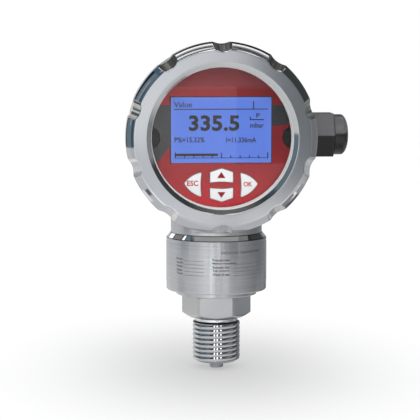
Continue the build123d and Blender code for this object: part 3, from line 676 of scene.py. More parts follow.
def make_connection():
    AFH, TR, WR, HH = 13.5, 15.18, 11.95, 10.2
    t30 = tan(radians(30))
    # columns round the hexagon, closer at the corners
    dl = [-30, -28.6, -27.75, -27.45, -27.2, -26.9, -26.4, -24, -18, -12, -6, 0, 6, 12, 18, 24, 26.4, 26.9, 27.2, 27.45, 27.75, 28.6]
    ths = [(radians(60 * k + d), radians(d)) for k in range(6) for d in dl]
    # everything below the hexagon needs an even, finer spacing, so both use the same columns
    P, MAJ, Z_CREST, DEPTH = 2.035, 10.4775, -3.62, 0.86
    # which way the surface tips, in degrees, from one root over the crest to the next
    tip = [(-1.02, -76), (-0.93, -72), (-0.90, -30), (-0.12, -5), (0.0, 2), (0.12, 14), (0.90, 34), (0.93, 72), (1.02, 76)]

    def tip_at(s):
        for (s0, a0), (s1, a1) in zip(tip, tip[1:]):
            if s <= s1:
                return a0 + (a1 - a0) * (s - s0) / (s1 - s0)
        return tip[-1][1]
    STEP = 0.01
    drop_up, drop_dn = [0.0], [0.0]
    for i in range(104):
        drop_up.append(drop_up[-1] + tan(radians(max(0.0, tip_at((i + 0.5) * STEP)))) * STEP)
        drop_dn.append(drop_dn[-1] - tan(radians(min(0.0, tip_at(-(i + 0.5) * STEP)))) * STEP)

    def thread_r(th, z):
        # round crests, a little steeper above than below, that meet in a narrow root
        ph = ((z - Z_CREST) / P - th / (2 * pi) + 0.5) % 1.0
        s = (ph - 0.5) * P
        table = drop_up if s >= 0 else drop_dn
        k = abs(s) / STEP
        i = min(int(k), 102)
        d = table[i] + (table[i + 1] - table[i]) * (k - i)
        return MAJ - min(d, DEPTH)

    rows = []          # each row: function of (th, d) -> (r, z)
    tags = []

    def row(fn, tag):
        rows.append(fn)
        tags.append(tag)

    # bore of the port from below, spigot, end face
    row(lambda th, d: (1.75, -15.0), 0)
    row(lambda th, d: (1.75, -22.9), 0)
    row(lambda th, d: (1.85, -23.0), 0)
    row(lambda th, d: (2.65, -23.0), 0)
    # spigot side and its rounded end: darker steel as painted shade
    row(lambda th, d: (2.85, -22.92), 5)
    row(lambda th, d: (2.97, -22.80), 5)
    row(lambda th, d: (3.0, -22.65), 5)
    row(lambda th, d: (3.0, -20.15), 5)
    row(lambda th, d: (3.05, -20.05), 0)
    row(lambda th, d: (3.15, -20.0), 0)
    row(lambda th, d: (6.0, -20.0), 0)
    # the rounded foot of the thread: darker steel as painted shade
    row(lambda th, d: (8.55, -20.0), 5)
    row(lambda th, d: (8.72, -19.97), 5)
    zs = [-19.93 + 0.052 * i for i in range(int((19.93 - 1.75) / 0.052) + 1)]

    def thr(z):
        def fn(th, d):
            r = thread_r(th, z)
            cone = 8.75 + (z + 20.0) * 1.33          # chamfer at the end
            run = 9.25 + max(0.0, (-1.75 - z)) * 1.6  # runs out into the relief
            r = smin(r, cone, 0.12) if cone < 11.5 else r
            r = smin(r, run, 0.15) if run < 11.5 else r
            return (r, z)
        return fn
    for z in zs:
        # tag 4 darkens the top of the thread as painted groove shade, tag 5 the end chamfer as painted shade
        row(thr(z), 4 if z > -2.42 else (5 if z < -19.05 else 1))
    # relief: brighter steel as a painted highlight
    row(lambda th, d: (9.25, -1.6), 6)
    row(lambda th, d: (9.25, -0.62), 6)
    # the narrow step above the relief: dark steel as a painted shade line
    row(lambda th, d: (9.32, -0.2), 4)
    row(lambda th, d: (9.5, -0.04), 4)
    row(lambda th, d: (9.7, 0.0), 4)
    row(lambda th, d: (WR - 0.1, 0.0), 0)

    def hexr(d):
        return min(AFH / cos(d), TR)
    row(lambda th, d: (WR, 0.0), 2)
    for f in (0.05, 0.3, 0.6, 0.9, 0.96):
        row((lambda f: lambda th, d: (WR + (hexr(d) - WR) * f, (hexr(d) - WR) * f * t30))(f), 2)
    row(lambda th, d: (hexr(d) - 0.015, (hexr(d) - WR) * t30 + 0.02), 2)
    row(lambda th, d: (hexr(d), (hexr(d) - WR) * t30 + 0.12), 3)
    top = lambda d: HH - max(0.0, hexr(d) - (TR - 0.8)) * 0.56
    for f in (0.1, 0.35, 0.65, 0.9):
        row((lambda f: lambda th, d: (hexr(d), (hexr(d) - WR) * t30 + 0.12 + (top(d) - 0.12 - (hexr(d) - WR) * t30 - 0.12) * f))(f), 3)
    row(lambda th, d: (hexr(d), top(d) - 0.12), 3)
    row(lambda th, d: (hexr(d) - 0.03, top(d) - 0.03), 3)
    row(lambda th, d: (hexr(d) - 0.10, min(top(d) + 0.02, HH)), 2)
    row(lambda th, d: (min(hexr(d) - 0.14, TR - 0.85), HH), 2)
    # under the collar: the hexagon meets its flat underside, then the collar's rim
    row(lambda th, d: (13.1, HH + 0.0), 2)
    return rows, tags, ths


def build_connection():
    rows, tags, ths = make_connection()
    n = len(rows)
    verts, faces, fm = [], [], []
    for th, d in ths:
        for fn in rows:
            r, z = fn(th, d)
            verts.append(place("Z", r, z, th + HEX_TURN, 0))
    m_ = len(ths)
    for j in range(m_):
        j2 = (j + 1) % m_
        for i in range(n - 1):
            faces.append((j * n + i, j2 * n + i, j2 * n + i + 1, j * n + i + 1))
            # tags 4 and 5 take the dark steel of painted shade, tag 6 the bright steel of a painted highlight
            fm.append({0: 0, 1: 1, 2: 0, 3: 2, 4: 3, 5: 4, 6: 5}[tags[i + 1] if tags[i] != 2 or tags[i + 1] != 3 else 2])
    # close the port and the top
    base = len(verts)
    verts.append((0, 0, -15.0))
    for j in range(m_):
        faces.append((j * n, base, ((j + 1) % m_) * n))
        fm.append(0)
    verts.append((0, 0, 10.2))
    for j in range(m_):
        faces.append((j * n + n - 1, ((j + 1) % m_) * n + n - 1, base + 1))
        fm.append(0)
    return finish_mesh("process_connection_finished", verts, faces, [M_TURNED, M_THREAD, M_HEX, M_GROOVE_PAINTED_SHADE, M_SPIGOT_PAINTED_SHADE, M_RELIEF_PAINTED_HIGHLIGHT], "housing", replaces=("process_connection",),
                       slot="turned_steel", smooth=32.0, face_mats=fm)


build_connection()
collar = fillet_path([(13.0, 10.2, 0), (17.8, 10.2, 0.5), (17.8, 12.38, 0), (13.0, 12.38, 0)], closed=False)
lathe("connection_collar", collar, "Z", 160, [M_TURNED], "housing", slot="turned_steel")

# ------------------------------------------------------------------ sensor body and label
body_path = fillet_path([(18.65, 37.84, 0), (20.11, 37.84, 0.10), (20.37, 37.513, 0), (21.77, 35.752, 0), (22.05, 35.4, 0.10), (22.05, 12.4, 0.65), (16.05, 12.4, 0), (16.05, 16.4, 0), (18.65, 16.4, 0)], closed=True)


# the polished chamfer; thin bands at its top and bottom edges take dark steel as painted shade
def body_mat(a, b):
    if min(a[1], b[1]) > 35.28 and a[0] > 19 and b[0] > 19:
        return 1 if min(a[1], b[1]) > 35.74 and max(a[1], b[1]) < 37.52 else 2
    return 0


lathe("sensor_body_finished", body_path, "Z", 192, [M_BODY, M_POLISH, M_EDGE_PAINTED_SHADE], "housing", mat_of=body_mat, replaces=("sensor_body",), slot="body_steel", smooth=30)


def make_label():
    r0, r1, z0, z1 = 22.06, 22.15, 16.5, 33.7
    segs = 200
    a0, a1 = radians(-178.0), radians(178.0)
    prof = fillet_path([(r0, z0, 0), (r1, z0, 0.05), (r1, z1, 0.05), (r0, z1, 0)], closed=False)
    n = len(prof)
    verts, faces = [], []
    for j in range(segs + 1):
        a = a0 + (a1 - a0) * j / segs
        for r, z in prof:
            verts.append((r * sin(a), -r * cos(a), z))
    for j in range(segs):
        for i in range(n):
            i2 = (i + 1) % n
            faces.append((j * n + i, j * n + i2, (j + 1) * n + i2, (j + 1) * n + i))
    faces.append(tuple(range(n)))
    faces.append(tuple(segs * n + i for i in reversed(range(n))))
    return finish_mesh("rating_label_finished", verts, faces, [M_LABEL], "housing", replaces=("rating_label",), slot="label_foil", smooth=30)


make_label()

# ------------------------------------------------------------------ gland
def hexprism_x(name, x0, x1, afh, turned, body, mat, **kw):
    dl = [-30, -29.4, -28.8, -27.5, -24, -15, -5, 5, 15, 24, 27.5, 28.8, 29.4]
    ths = [(radians(60 * k + d), radians(d)) for k in range(6) for d in dl]

    def hr(d):
        return min(afh / cos(d), turned) - max(0.0, 0.10 * (1 - (30 - abs(math.degrees(d))) / 1.2)) if abs(math.degrees(d)) > 28.8 else min(afh / cos(d), turned)
    rows = [lambda d: (x0, 8.2), lambda d: (x0, 8.6), lambda d: (x0, hr(d) - 0.45), lambda d: (x0 + 0.05, hr(d) - 0.2), lambda d: (x0 + 0.22, hr(d) - 0.04), lambda d: (x0 + 0.42, hr(d)),
            lambda d: (x0 + 2.5, hr(d)), lambda d: (x1 - 2.5, hr(d)), lambda d: (x1 - 0.42, hr(d)), lambda d: (x1 - 0.2, hr(d) - 0.05), lambda d: (x1 - 0.05, hr(d) - 0.2), lambda d: (x1, hr(d) - 0.45),
            lambda d: (x1, 7.56), lambda d: (54.6, 7.55), lambda d: (54.6, 6.6), lambda d: (50.0, 6.6), lambda d: (50.0, 4.6), lambda d: (33.5, 4.6), lambda d: (33.5, 8.0), lambda d: (x0 - 0.1, 8.0)]
    n = len(rows)
    verts, faces = [], []
    for th, d in ths:
        for fn in rows:
            x, r = fn(d)
            # a corner of the hexagon faces the front
            verts.append((x, -r * cos(th + radians(30)), GLAND_Z + r * sin(th + radians(30))))
    m_ = len(ths)
    for j in range(m_):
        j2 = (j + 1) % m_
        for i in range(n):
            faces.append((j * n + i, j * n + (i + 1) % n, j2 * n + (i + 1) % n, j2 * n + i))
    return finish_mesh(name, verts, faces, [mat], body, smooth=40, **kw)


hexprism_x("gland_body_finished", 41.8, 51.15, 9.5, 11.2, "housing", M_NYLON, replaces=("gland_body",), slot="black_nylon")

NUTR, NUTX, DOME = 8.86, 58.2, 3.4
nut_pts = [(51.25, 7.6), (51.25, 8.45), (51.3, 8.62), (51.45, 8.8), (51.7, NUTR), (53.0, NUTR), (54.0, NUTR)]
for i in range(0, 25):
    a = radians(90.0 * i / 24)
    rr = NUTR * cos(a)
    if rr < 5.1:
        break
    nut_pts.append((NUTX - DOME + DOME * sin(a), rr))
xe = NUTX - DOME + DOME * sqrt(1 - (5.0 / NUTR) ** 2)
nut_pts += [(xe - 0.02, 5.05), (xe - 0.1, 4.88), (xe - 0.3, 4.75), (56.6, 4.7), (56.6, 5.95), (55.95, 6.6), (54.75, 6.6), (54.75, 7.6)]
lathe("gland_nut_finished", [(r, x) for x, r in nut_pts], "X", 128, [M_NYLON], "gland_nut", cz=GLAND_Z, replaces=("gland_nut",), slot="black_nylon", smooth=35)

# ------------------------------------------------------------------ gland seal and claw stay as modelled; finishes for all modelled parts
BY_SLOT = {"head_steel": M_SHELL, "cover_steel": M_RINGSIDE, "body_steel": M_BODY, "label_foil": M_LABEL, "turned_steel": M_TURNED,
           "window_glass": M_GLASS, "seal_rubber": M_RUBBER, "screw_steel": M_SCREW, "faceplate_print": M_RED, "black_moulding": M_MOULD,
           "lcd_blue": M_LCD, "light_guide": M_LIGHTGUIDE, "key_white": M_KEY, "board_green": M_BOARD, "brass": M_BRASS,
           "terminal_green": M_TERM, "ribbon_grey": M_RIBBON, "cell_steel": M_TURNED, "black_nylon": M_NYLON}
for part in frame["record"]["subparts"]:
    ob = NODES.get(part["node"])
    if ob is None or ob.type != "MESH":
        continue
    ob.data.materials.clear()
    ob.data.materials.append(BY_SLOT[part["material_slot"]])

for name in ("key_esc", "key_up", "key_down", "key_ok"):
    bv = NODES[name].modifiers.new("edge", "BEVEL")
    bv.width = 0.00028
    bv.segments = 3
    bv.limit_method = "ANGLE"
    bv.angle_limit = radians(40)


# ------------------------------------------------------------------ flat pieces and lettering
def prism(name, outline, y_front, y_back, mat, body, smooth=30):
    """outline is a list of (x, z) in mm, turned into a thin plate between two depths."""
    n = len(outline)
    verts = [(x, y_front, z) for x, z in outline] + [(x, y_back, z) for x, z in outline]
    faces = [tuple(range(n)), tuple(range(2 * n - 1, n - 1, -1))]
    for i in range(n):
        j = (i + 1) % n
        faces.append((i, i + n, j + n, j))
    me = bpy.data.meshes.new(name)
    me.from_pydata([(v[0] * MM, v[1] * MM, v[2] * MM) for v in verts], [], faces)
    bm = bmesh.new()
    bm.from_mesh(me)
    bmesh.ops.triangulate(bm, faces=bm.faces)
    bmesh.ops.recalc_face_normals(bm, faces=bm.faces)
    bm.to_mesh(me)
    bm.free()
    me.materials.append(mat)
    ob = bpy.data.objects.new(name, me)
    scene.collection.objects.link(ob)
    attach(ob, body)
    return ob


def letters(text, bold=0.0, spacing=1.0):
    """The outline of the text as a flat mesh: (vertices in a unit box, faces), thickness along the third number 0 to 1."""
    cu = bpy.data.curves.new("letters", "FONT")
    cu.body = text
    cu.size = 1.0
    cu.extrude = 0.5
    cu.offset = bold
    cu.space_character = spacing
    cu.resolution_u = 3
    ob = bpy.data.objects.new("letters", cu)
    scene.collection.objects.link(ob)
    bpy.context.view_layer.update()
    me = bpy.data.meshes.new_from_object(ob.evaluated_get(bpy.context.evaluated_depsgraph_get()))
    vs = [v.co.copy() for v in me.vertices]
    fs = [tuple(p.vertices) for p in me.polygons]
    bpy.data.objects.remove(ob)
    bpy.data.curves.remove(cu)
    bpy.data.meshes.remove(me)
    x0, x1 = min(v.x for v in vs), max(v.x for v in vs)
    y0, y1 = min(v.y for v in vs), max(v.y for v in vs)
    return [((v.x - x0) / (x1 - x0), (v.y - y0) / (y1 - y0), v.z + 0.5) for v in vs], fs


def join_mesh(name, chunks, mat, body):
    """chunks is a list of (verts in mm, faces), made into one piece."""
    vs, fs = [], []
    for v, f in chunks:
        k = len(vs)
        vs += v
        fs += [tuple(i + k for i in q) for q in f]
    me = bpy.data.meshes.new(name)
    me.from_pydata([(v[0] * MM, v[1] * MM, v[2] * MM) for v in vs], [], fs)
    me.materials.append(mat)
    ob = bpy.data.objects.new(name, me)
    scene.collection.objects.link(ob)
    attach(ob, body)
    return ob


def flat_text(text, px0, py0, px1, py1, y, thick=0.02, bold=0.0, spacing=1.0):
    """Lettering that fills a rectangle of the picture, lying on the plane at depth y and standing thick mm proud."""
    xa, za = at(px0, py1, y)
    xb, zb = at(px1, py0, y)
    v, f = letters(text, bold, spacing)
    return [(xa + u * (xb - xa), y - w * thick, za + h * (zb - za)) for u, h, w in v], f


def flat_bar(px0, py0, px1, py1, y, thick=0.02):
    xa, za = at(px0, py1, y)
    xb, zb = at(px1, py0, y)
    v = [(x, yy, z) for yy in (y, y - thick) for x, z in ((xa, za), (xb, za), (xb, zb), (xa, zb))]
    return v, [(0, 1, 2, 3), (7, 6, 5, 4), (0, 4, 5, 1), (1, 5, 6, 2), (2, 6, 7, 3), (3, 7, 4, 0)]


def flat_shape(pts, y, thick=0.02):
    """A convex shape given by places in the picture."""
    q = [at(px, py, y) for px, py in pts]
    n = len(q)
    v = [(x, y, z) for x, z in q] + [(x, y - thick, z) for x, z in q]
    f = [tuple(range(n)), tuple(range(2 * n - 1, n - 1, -1))] + [(i, (i + 1) % n, (i + 1) % n + n, i + n) for i in range(n)]
    return v, f


# ------------------------------------------------------------------ faceplate: the two grey fields
PLATE_Y = -27.8


def arc_pts(cx, cz, r, a0, a1, n):
    return [(cx + r * cos(radians(a0 + (a1 - a0) * i / n)), cz + r * sin(radians(a0 + (a1 - a0) * i / n))) for i in range(n + 1)]


def circle_at_z(r, z, sign):
    return degrees_of(sign * sqrt(max(0.0, r * r - (z - HEAD_Z) ** 2)), z - HEAD_Z)


def degrees_of(x, z):
    return math.degrees(atan2(z, x))


def grey_fields():
    r, g, gx = 30.25, 5.0, 30.8
    # where the grip cut-out meets the rim
    c = (r * r - g * g + gx * gx) / (2 * gx)
    h = sqrt(r * r - c * c)
    # left
    x_in, z_top = at(170.1, 105.0, PLATE_Y)
    xa, za = at(169.5, 144.4, PLATE_Y)
    xb, zb = at(157.5, 162.6, PLATE_Y)
    a_top = degrees_of(-sqrt(r * r - (z_top - HEAD_Z) ** 2), z_top - HEAD_Z)
    a_gt = degrees_of(-c, h)
    a_low = degrees_of(-sqrt(r * r - (zb - HEAD_Z) ** 2), zb - HEAD_Z)
    pts = [(-21.38, z_top), (-21.38, za)]
    mx, mz = (xa + xb) / 2 + 0.55, (za + zb) / 2 - 0.25
    for i in range(1, 13):
        f = i / 12.0
        pts.append(((1 - f) ** 2 * -21.38 + 2 * f * (1 - f) * mx + f * f * xb, (1 - f) ** 2 * za + 2 * f * (1 - f) * mz + f * f * zb))
    a_low_ = a_low if a_low > 0 else a_low + 360
    pts += arc_pts(0, HEAD_Z, r, a_low_, 360 - a_gt, 14)[1:]
    a1 = degrees_of(-c + gx, -h)
    a2 = degrees_of(-c + gx, h)
    pts += arc_pts(-gx, HEAD_Z, g, a1, a2, 22)
    pts += arc_pts(0, HEAD_Z, r, a_gt, a_top, 14)
    prism("plate_field_left", pts, PLATE_Y - 0.03, PLATE_Y + 0.02, M_GREY, "housing")
    # right
    x1, z1 = at(271.8, 125.7, PLATE_Y)
    x2, z2 = at(289.0, 122.0, PLATE_Y)
    a_top = degrees_of(sqrt(r * r - (z_top - HEAD_Z) ** 2), z_top - HEAD_Z)
    a_r = degrees_of(sqrt(r * r - (z2 - HEAD_Z) ** 2), z2 - HEAD_Z)
    pts = [(21.38, z_top)] + list(arc_pts(0, HEAD_Z, r, a_top, a_r, 14))
    xe, ze = pts[-1]
    for i in range(1, 13):
        f = i / 12.0
        pts.append(((1 - f) ** 2 * xe + 2 * f * (1 - f) * (x1 + 5.0) + f * f * 21.38, (1 - f) ** 2 * ze + 2 * f * (1 - f) * (z1 - 0.2) + f * f * z1))
    prism("plate_field_right", pts, PLATE_Y - 0.03, PLATE_Y + 0.02, M_GREY, "housing")


grey_fields()

# ------------------------------------------------------------------ display content
LY = -27.4
chunks = [
    flat_text("Value", 173.9, 101.7, 191.9, 107.4, LY, bold=0.008),
    flat_bar(173.9, 108.6, 268.2, 109.8, LY),
    flat_bar(253.0, 101.3, 254.1, 109.2, LY),
    flat_text("335.5", 188.9, 115.1, 239.4, 131.2, LY, bold=0.034, spacing=1.04),
    flat_text("P", 256.2, 113.2, 260.0, 117.4, LY, bold=0.018),
    flat_bar(249.8, 116.6, 250.8, 120.2, LY),
    flat_bar(250.3, 119.1, 263.9, 120.2, LY),
    flat_text("mbar", 250.1, 122.7, 263.9, 127.8, LY, bold=0.018),
    flat_text("P%=15.32%", 174.6, 137.2, 204.5, 142.6, LY, bold=0.018),
    flat_text("I=11.336mA", 226.1, 137.2, 256.2, 142.6, LY, bold=0.018),
    flat_bar(174.8, 152.4, 175.9, 158.4, LY),
    flat_bar(175.3, 153.5, 218.0, 156.2, LY),
    flat_bar(175.3, 157.3, 267.9, 158.4, LY),
    flat_bar(220.8, 152.8, 221.9, 158.2, LY),
    flat_bar(267.1, 152.4, 268.2, 158.4, LY),
]
for px in (184.6, 193.9, 203.2, 212.3, 230.7, 240.2, 249.5, 258.5):
    chunks.append(flat_bar(px - 0.5, 155.3, px + 0.5, 158.2, LY))
join_mesh("display_segments", chunks, M_INK, "housing")
# the dark line round the display window
chunks = [flat_bar(169.6, 96.0, 272.2, 97.1, PLATE_Y), flat_bar(169.6, 162.5, 272.2, 163.5, PLATE_Y),
          flat_bar(169.6, 96.0, 170.7, 163.5, PLATE_Y), flat_bar(271.2, 96.0, 272.2, 163.5, PLATE_Y)]
join_mesh("display_border", chunks, M_BORDER, "housing")

# ------------------------------------------------------------------ legends on the keys
KY = -28.1
join_mesh("legend_esc", [flat_text("ESC", 187.1, 180.5, 198.3, 186.1, KY, bold=0.026)], M_LEGEND, "key_esc_body")
join_mesh("legend_ok", [flat_text("OK", 243.5, 181.7, 252.3, 186.6, KY, bold=0.026)], M_LEGEND, "key_ok_body")
join_mesh("legend_up", [flat_shape([(221.4, 171.9), (217.2, 178.1), (225.5, 178.1)], KY)], M_KEYRED, "key_up_body")
join_mesh("legend_down", [flat_shape([(221.4, 198.0), (225.5, 192.1), (217.4, 192.1)], KY)], M_KEYRED, "key_down_body")

# ------------------------------------------------------------------ print on the rating label
LR = 22.15


def wrap_text(text, px0, px1, pyc, height_px, thick=0.025, bold=0.0):
    """A row of lettering that runs level round the label; pyc is the middle of the row at its left end."""
    a0, z0 = on_body(px0, pyc, LR)
    a1, _ = on_body(px1, pyc, LR)
    hz = height_px / 2.267
    v, f = letters(text, bold)
    out = []
    for u, h, w in v:
        a = a0 + (a1 - a0) * u
        r = LR - 0.02 + (thick + 0.02) * w
        out.append((r * sin(a), -r * cos(a), z0 + (h - 0.5) * hz))
    return out, f


def wrap_rule(px0, px1, pyc, height_px, thick=0.008, n=14):
    a0, z0 = on_body(px0, pyc, LR)
    a1, _ = on_body(px1, pyc, LR)
    hz = height_px / 2.267
    v, f = [], []
    for i in range(n + 1):
        a = a0 + (a1 - a0) * i / n
        for r, z in ((LR - 0.02, z0 - hz / 2), (LR + thick, z0 - hz / 2), (LR + thick, z0 + hz / 2), (LR - 0.02, z0 + hz / 2)):
            v.append((r * sin(a), -r * cos(a), z))
    for i in range(n):
        for k in range(4):
            f.append((i * 4 + k, i * 4 + (k + 1) % 4, i * 4 + 4 + (k + 1) % 4, i * 4 + 4 + k))
    f.append((0, 3, 2, 1))
    f.append((n * 4, n * 4 + 1, n * 4 + 2, n * 4 + 3))
    return v, f


rows_l = [("Range", 182.6), ("Supply", 183.2), ("Output", 183.4), ("Class", 182.0), ("Temp.", 183.2)]
rows_m = [("Pressure max.", 230.2), ("Medium temperature", 236.2), ("Enclosure class", 229.6), ("Test pressure", 229.0), ("Week of test", 229.6)]
chunks, rules = [], []
for i, (s, xe) in enumerate(rows_l):
    y0 = 258.2 + 3.62 * i
    chunks.append(wrap_text(s, 176.7, xe, y0, 2.4, bold=0.006))
    rules.append(wrap_rule(184.4, 203.8, y0 + 2.2, 0.32))
for i, (s, xe) in enumerate(rows_m):
    y0 = 260.2 + 3.62 * i
    chunks.append(wrap_text(s, 212.6, xe, y0, 2.5, bold=0.022))
    if i > 0:
        rules.append(wrap_rule(233.4, 259.2, y0 + 0.9, 0.36))
chunks.append(wrap_text("PRESSURE TRANSMITTER", 221.6, 258.8, 253.2, 2.3))
join_mesh("label_lettering", chunks, M_PRINT, "housing")
join_mesh("label_rules", rules, M_RULE, "housing")

# ------------------------------------------------------------------ surroundings
world = bpy.data.worlds.new("surroundings")
scene.world = world
world.use_nodes = True
wt = world.node_tree
wt.nodes.clear()


def wn(kind, **kw):
    node = wt.nodes.new(kind)
    for k, v in kw.items():
        setattr(node, k, v)
    return node


def wmath(op, a, b=None, clamp=False):
    node = wn("ShaderNodeMath", operation=op, use_clamp=clamp)
    for i, v in enumerate((a, b)):
        if v is None:
            continue
        if isinstance(v, (int, float)):
            node.inputs[i].default_value = v
        else:
            wt.links.new(v, node.inputs[i])
    return node.outputs[0]


def wramp(fac, stops):
    node = wn("ShaderNodeValToRGB")
    els = node.color_ramp.elements
    while len(els) > 1:
        els.remove(els[-1])
    els[0].position = stops[0][0]
    els[0].color = col(stops[0][1])
    for p, c in stops[1:]:
        e = els.new(p)
        e.color = col(c)
    wt.links.new(fac, node.inputs[0])
    return node.outputs[0]


tc = wn("ShaderNodeTexCoord")
sp = wn("ShaderNodeSeparateXYZ")
wt.links.new(tc.outputs["Generated"], sp.inputs[0])
azi = wmath("ARCTAN2", sp.outputs[0], wmath("MULTIPLY", sp.outputs[1], -1.0))
azd = wmath("ADD", wmath("MULTIPLY", azi, 180.0 / pi), 4.5)
elev = wmath("MULTIPLY", wmath("ARCSINE", sp.outputs[2]), 180.0 / pi)
fac = wmath("DIVIDE", wmath("ADD", azd, 180.0), 360.0)
efac = wmath("DIVIDE", wmath("ADD", elev, 90.0), 180.0)
ep = lambda e: (e + 90.0) / 180.0


def tinted(v):
    k = min(1.0, max(0.0, (v - 0.2) / 0.7))
    return (v * (0.955 + 0.035 * k), v * (0.985 + 0.01 * k), v * (1.02 - 0.015 * k))


def wmix(fac_, a, b, blend="MIX"):
    node = wn("ShaderNodeMix", data_type="RGBA", blend_type=blend)
    for i, v in ((0, fac_), (6, a), (7, b)):
        if isinstance(v, (int, float)):
            node.inputs[i].default_value = v if i == 0 else col(v)
        elif isinstance(v, tuple):
            node.inputs[i].default_value = col(v)
        else:
            wt.links.new(v, node.inputs[i])
    return node.outputs[2]


def wn_combine(v):
    node = wn("ShaderNodeCombineXYZ")
    for i in range(3):
        wt.links.new(v, node.inputs[i])
    return node.outputs[0]


def between(v, a, b, soft):
    """1 where v lies between a and b, with soft ends."""
    lo = wmath("DIVIDE", wmath("SUBTRACT", v, a - soft), 2.0 * soft, clamp=True)
    hi = wmath("DIVIDE", wmath("SUBTRACT", b + soft, v), 2.0 * soft, clamp=True)
    return wmath("MULTIPLY", lo, hi)


# what the metal reflects near the horizon, going round
LEVELS = [(-180, .60), (-150, .66), (-110, .70), (-95, .60), (-80, .66), (-50, .74), (-30, .98), (-12, 1.08), (0, 1.04), (8, .98), (17, .86), (22, .78), (36, .58), (46, .48), (60, .38), (78, .30), (100, .22), (120, .22), (150, .28), (180, .46)]
ring_low = wramp(fac, [((a + 180.0) / 360.0, tinted(v)) for a, v in LEVELS])
# below, the pale table; above, a dark ceiling
below = wramp(fac, [((a + 180.0) / 360.0, tinted(v)) for a, v in [(-180, .62), (-60, .70), (0, .74), (60, .66), (100, .58), (180, .62)]])
above = wramp(efac, [(ep(0), (0.50, 0.51, 0.53)), (ep(13), (0.30, 0.33, 0.36)), (ep(23), (0.055, 0.065, 0.08)), (ep(50), (0.05, 0.055, 0.06)), (ep(68), (0.18, 0.185, 0.18)), (ep(90), (0.18, 0.185, 0.18))])
k_below = wmath("DIVIDE", wmath("SUBTRACT", wmath("MULTIPLY", elev, -1.0), 14.0), 14.0, clamp=True)
k_above = wmath("DIVIDE", wmath("SUBTRACT", elev, 6.0), 10.0, clamp=True)
refl = wmix(k_below, ring_low, below)
refl = wmix(k_above, refl, above)
# three tall lights in front, high up
# they run from low in front up over the object, and converge behind it
AXIS = (-0.0777, -0.988, 0.134)
hx = wmath("ADD", sp.outputs[0], AXIS[0])
hy = wmath("ADD", sp.outputs[1], AXIS[1])
hz = wmath("ADD", sp.outputs[2], AXIS[2])
lon = wmath("ADD", wmath("MULTIPLY", wmath("ARCTAN2", hx, wmath("MULTIPLY", hy, -1.0)), 180.0 / pi), 4.5)
lat = wmath("MULTIPLY", wmath("ARCTAN2", hz, wmath("SQRT", wmath("ADD", wmath("MULTIPLY", hx, hx), wmath("MULTIPLY", hy, hy)))), 180.0 / pi)
strips = None
for a, b in ((-6.7, -4.1), (0.3, 3.1), (8.9, 12.1)):
    s = wmath("MULTIPLY", between(lon, a, b, 0.25), between(lat, 14.5, 33.0, 0.6))
    strips = s if strips is None else wmath("ADD", strips, s)
# bars overhead, a little behind
yb = sp.outputs[1]
bars = wramp(yb, [(0.0, 0.02), (0.136, 0.02), (0.146, 1.2), (0.190, 1.2), (0.198, 0.015), (0.250, 0.015), (0.262, 0.40), (0.345, 0.50), (0.360, 1.5), (0.442, 1.5),
                  (0.456, 0.01), (1.0, 0.02)])
over = wmath("MULTIPLY", wmath("DIVIDE", wmath("SUBTRACT", elev, 34.0), 8.0, clamp=True), wmath("DIVIDE", yb, 0.12, clamp=True))
refl = wmix(over, refl, bars)
# dark wall high on the right, blue one high on the left
right_up = wmath("MULTIPLY", between(azd, 62.0, 150.0, 8.0), between(elev, 12.0, 46.0, 4.0))
refl = wmix(right_up, refl, (0.055, 0.06, 0.06))
left_up = wmath("MULTIPLY", between(azd, -150.0, -50.0, 8.0), between(elev, 12.0, 50.0, 4.0))
refl = wmix(left_up, refl, (0.085, 0.135, 0.185))
refl = wmix(wmath("MINIMUM", strips, 1.0), refl, (3.4, 3.45, 3.5))

# what lights the matt surfaces: an even white tent, brighter above
tent = wramp(efac, [(ep(-90), 0.70), (ep(-10), 0.80), (ep(0), 1.16), (ep(30), 1.22), (ep(60), 1.38), (ep(90), 1.45)])
front = wmath("DIVIDE", wmath("SUBTRACT", wmath("MULTIPLY", sp.outputs[1], -1.0), 0.25), 0.5, clamp=True)
front = wmath("ADD", 1.0, wmath("MULTIPLY", front, 0.50))
tent = wmix(1.0, tent, wn_combine(front), "MULTIPLY")


def background(c):
    b = wn("ShaderNodeBackground")
    if isinstance(c, tuple):
        b.inputs["Color"].default_value = col(c)
    else:
        wt.links.new(c, b.inputs["Color"])
    return b.outputs[0]


lp = wn("ShaderNodeLightPath")


def shade_mix(f, a, b):
    node = wn("ShaderNodeMixShader")
    wt.links.new(f, node.inputs[0])
    wt.links.new(a, node.inputs[1])
    wt.links.new(b, node.inputs[2])
    return node.outputs[0]


look = shade_mix(lp.outputs["Is Diffuse Ray"], background(refl), background(tent))
look = shade_mix(lp.outputs["Is Camera Ray"], look, background((1.0, 1.0, 1.0)))
wout = wn("ShaderNodeOutputWorld")
wt.links.new(look, wout.inputs[0])


def glow(name, level):
    t = Tree(name)
    vec, x, y, z = t.coords()
    e = t.n("ShaderNodeEmission")
    c = t.ramp(t.noise(vec, 4.0, 2.0, 0.5), [(0.3, tuple(v * 0.97 for v in level)), (0.7, tuple(v * 1.03 for v in level))])
    t.link(c, e.inputs["Color"])
    t.link(e.outputs[0], t.out.inputs[0])
    return t.mat


def card(name, corners, level, diffuse=False):
    """A studio card seen only in reflections; corners in mm."""
    me = bpy.data.meshes.new(name)
    me.from_pydata([(x * MM, y * MM, z * MM) for x, y, z in corners], [], [tuple(range(len(corners)))])
    me.materials.append(glow(name + "_card", level))
    ob = bpy.data.objects.new(name, me)
    scene.collection.objects.link(ob)
    ob.visible_camera = False
    ob.visible_diffuse = diffuse
    ob.visible_shadow = False
    return ob


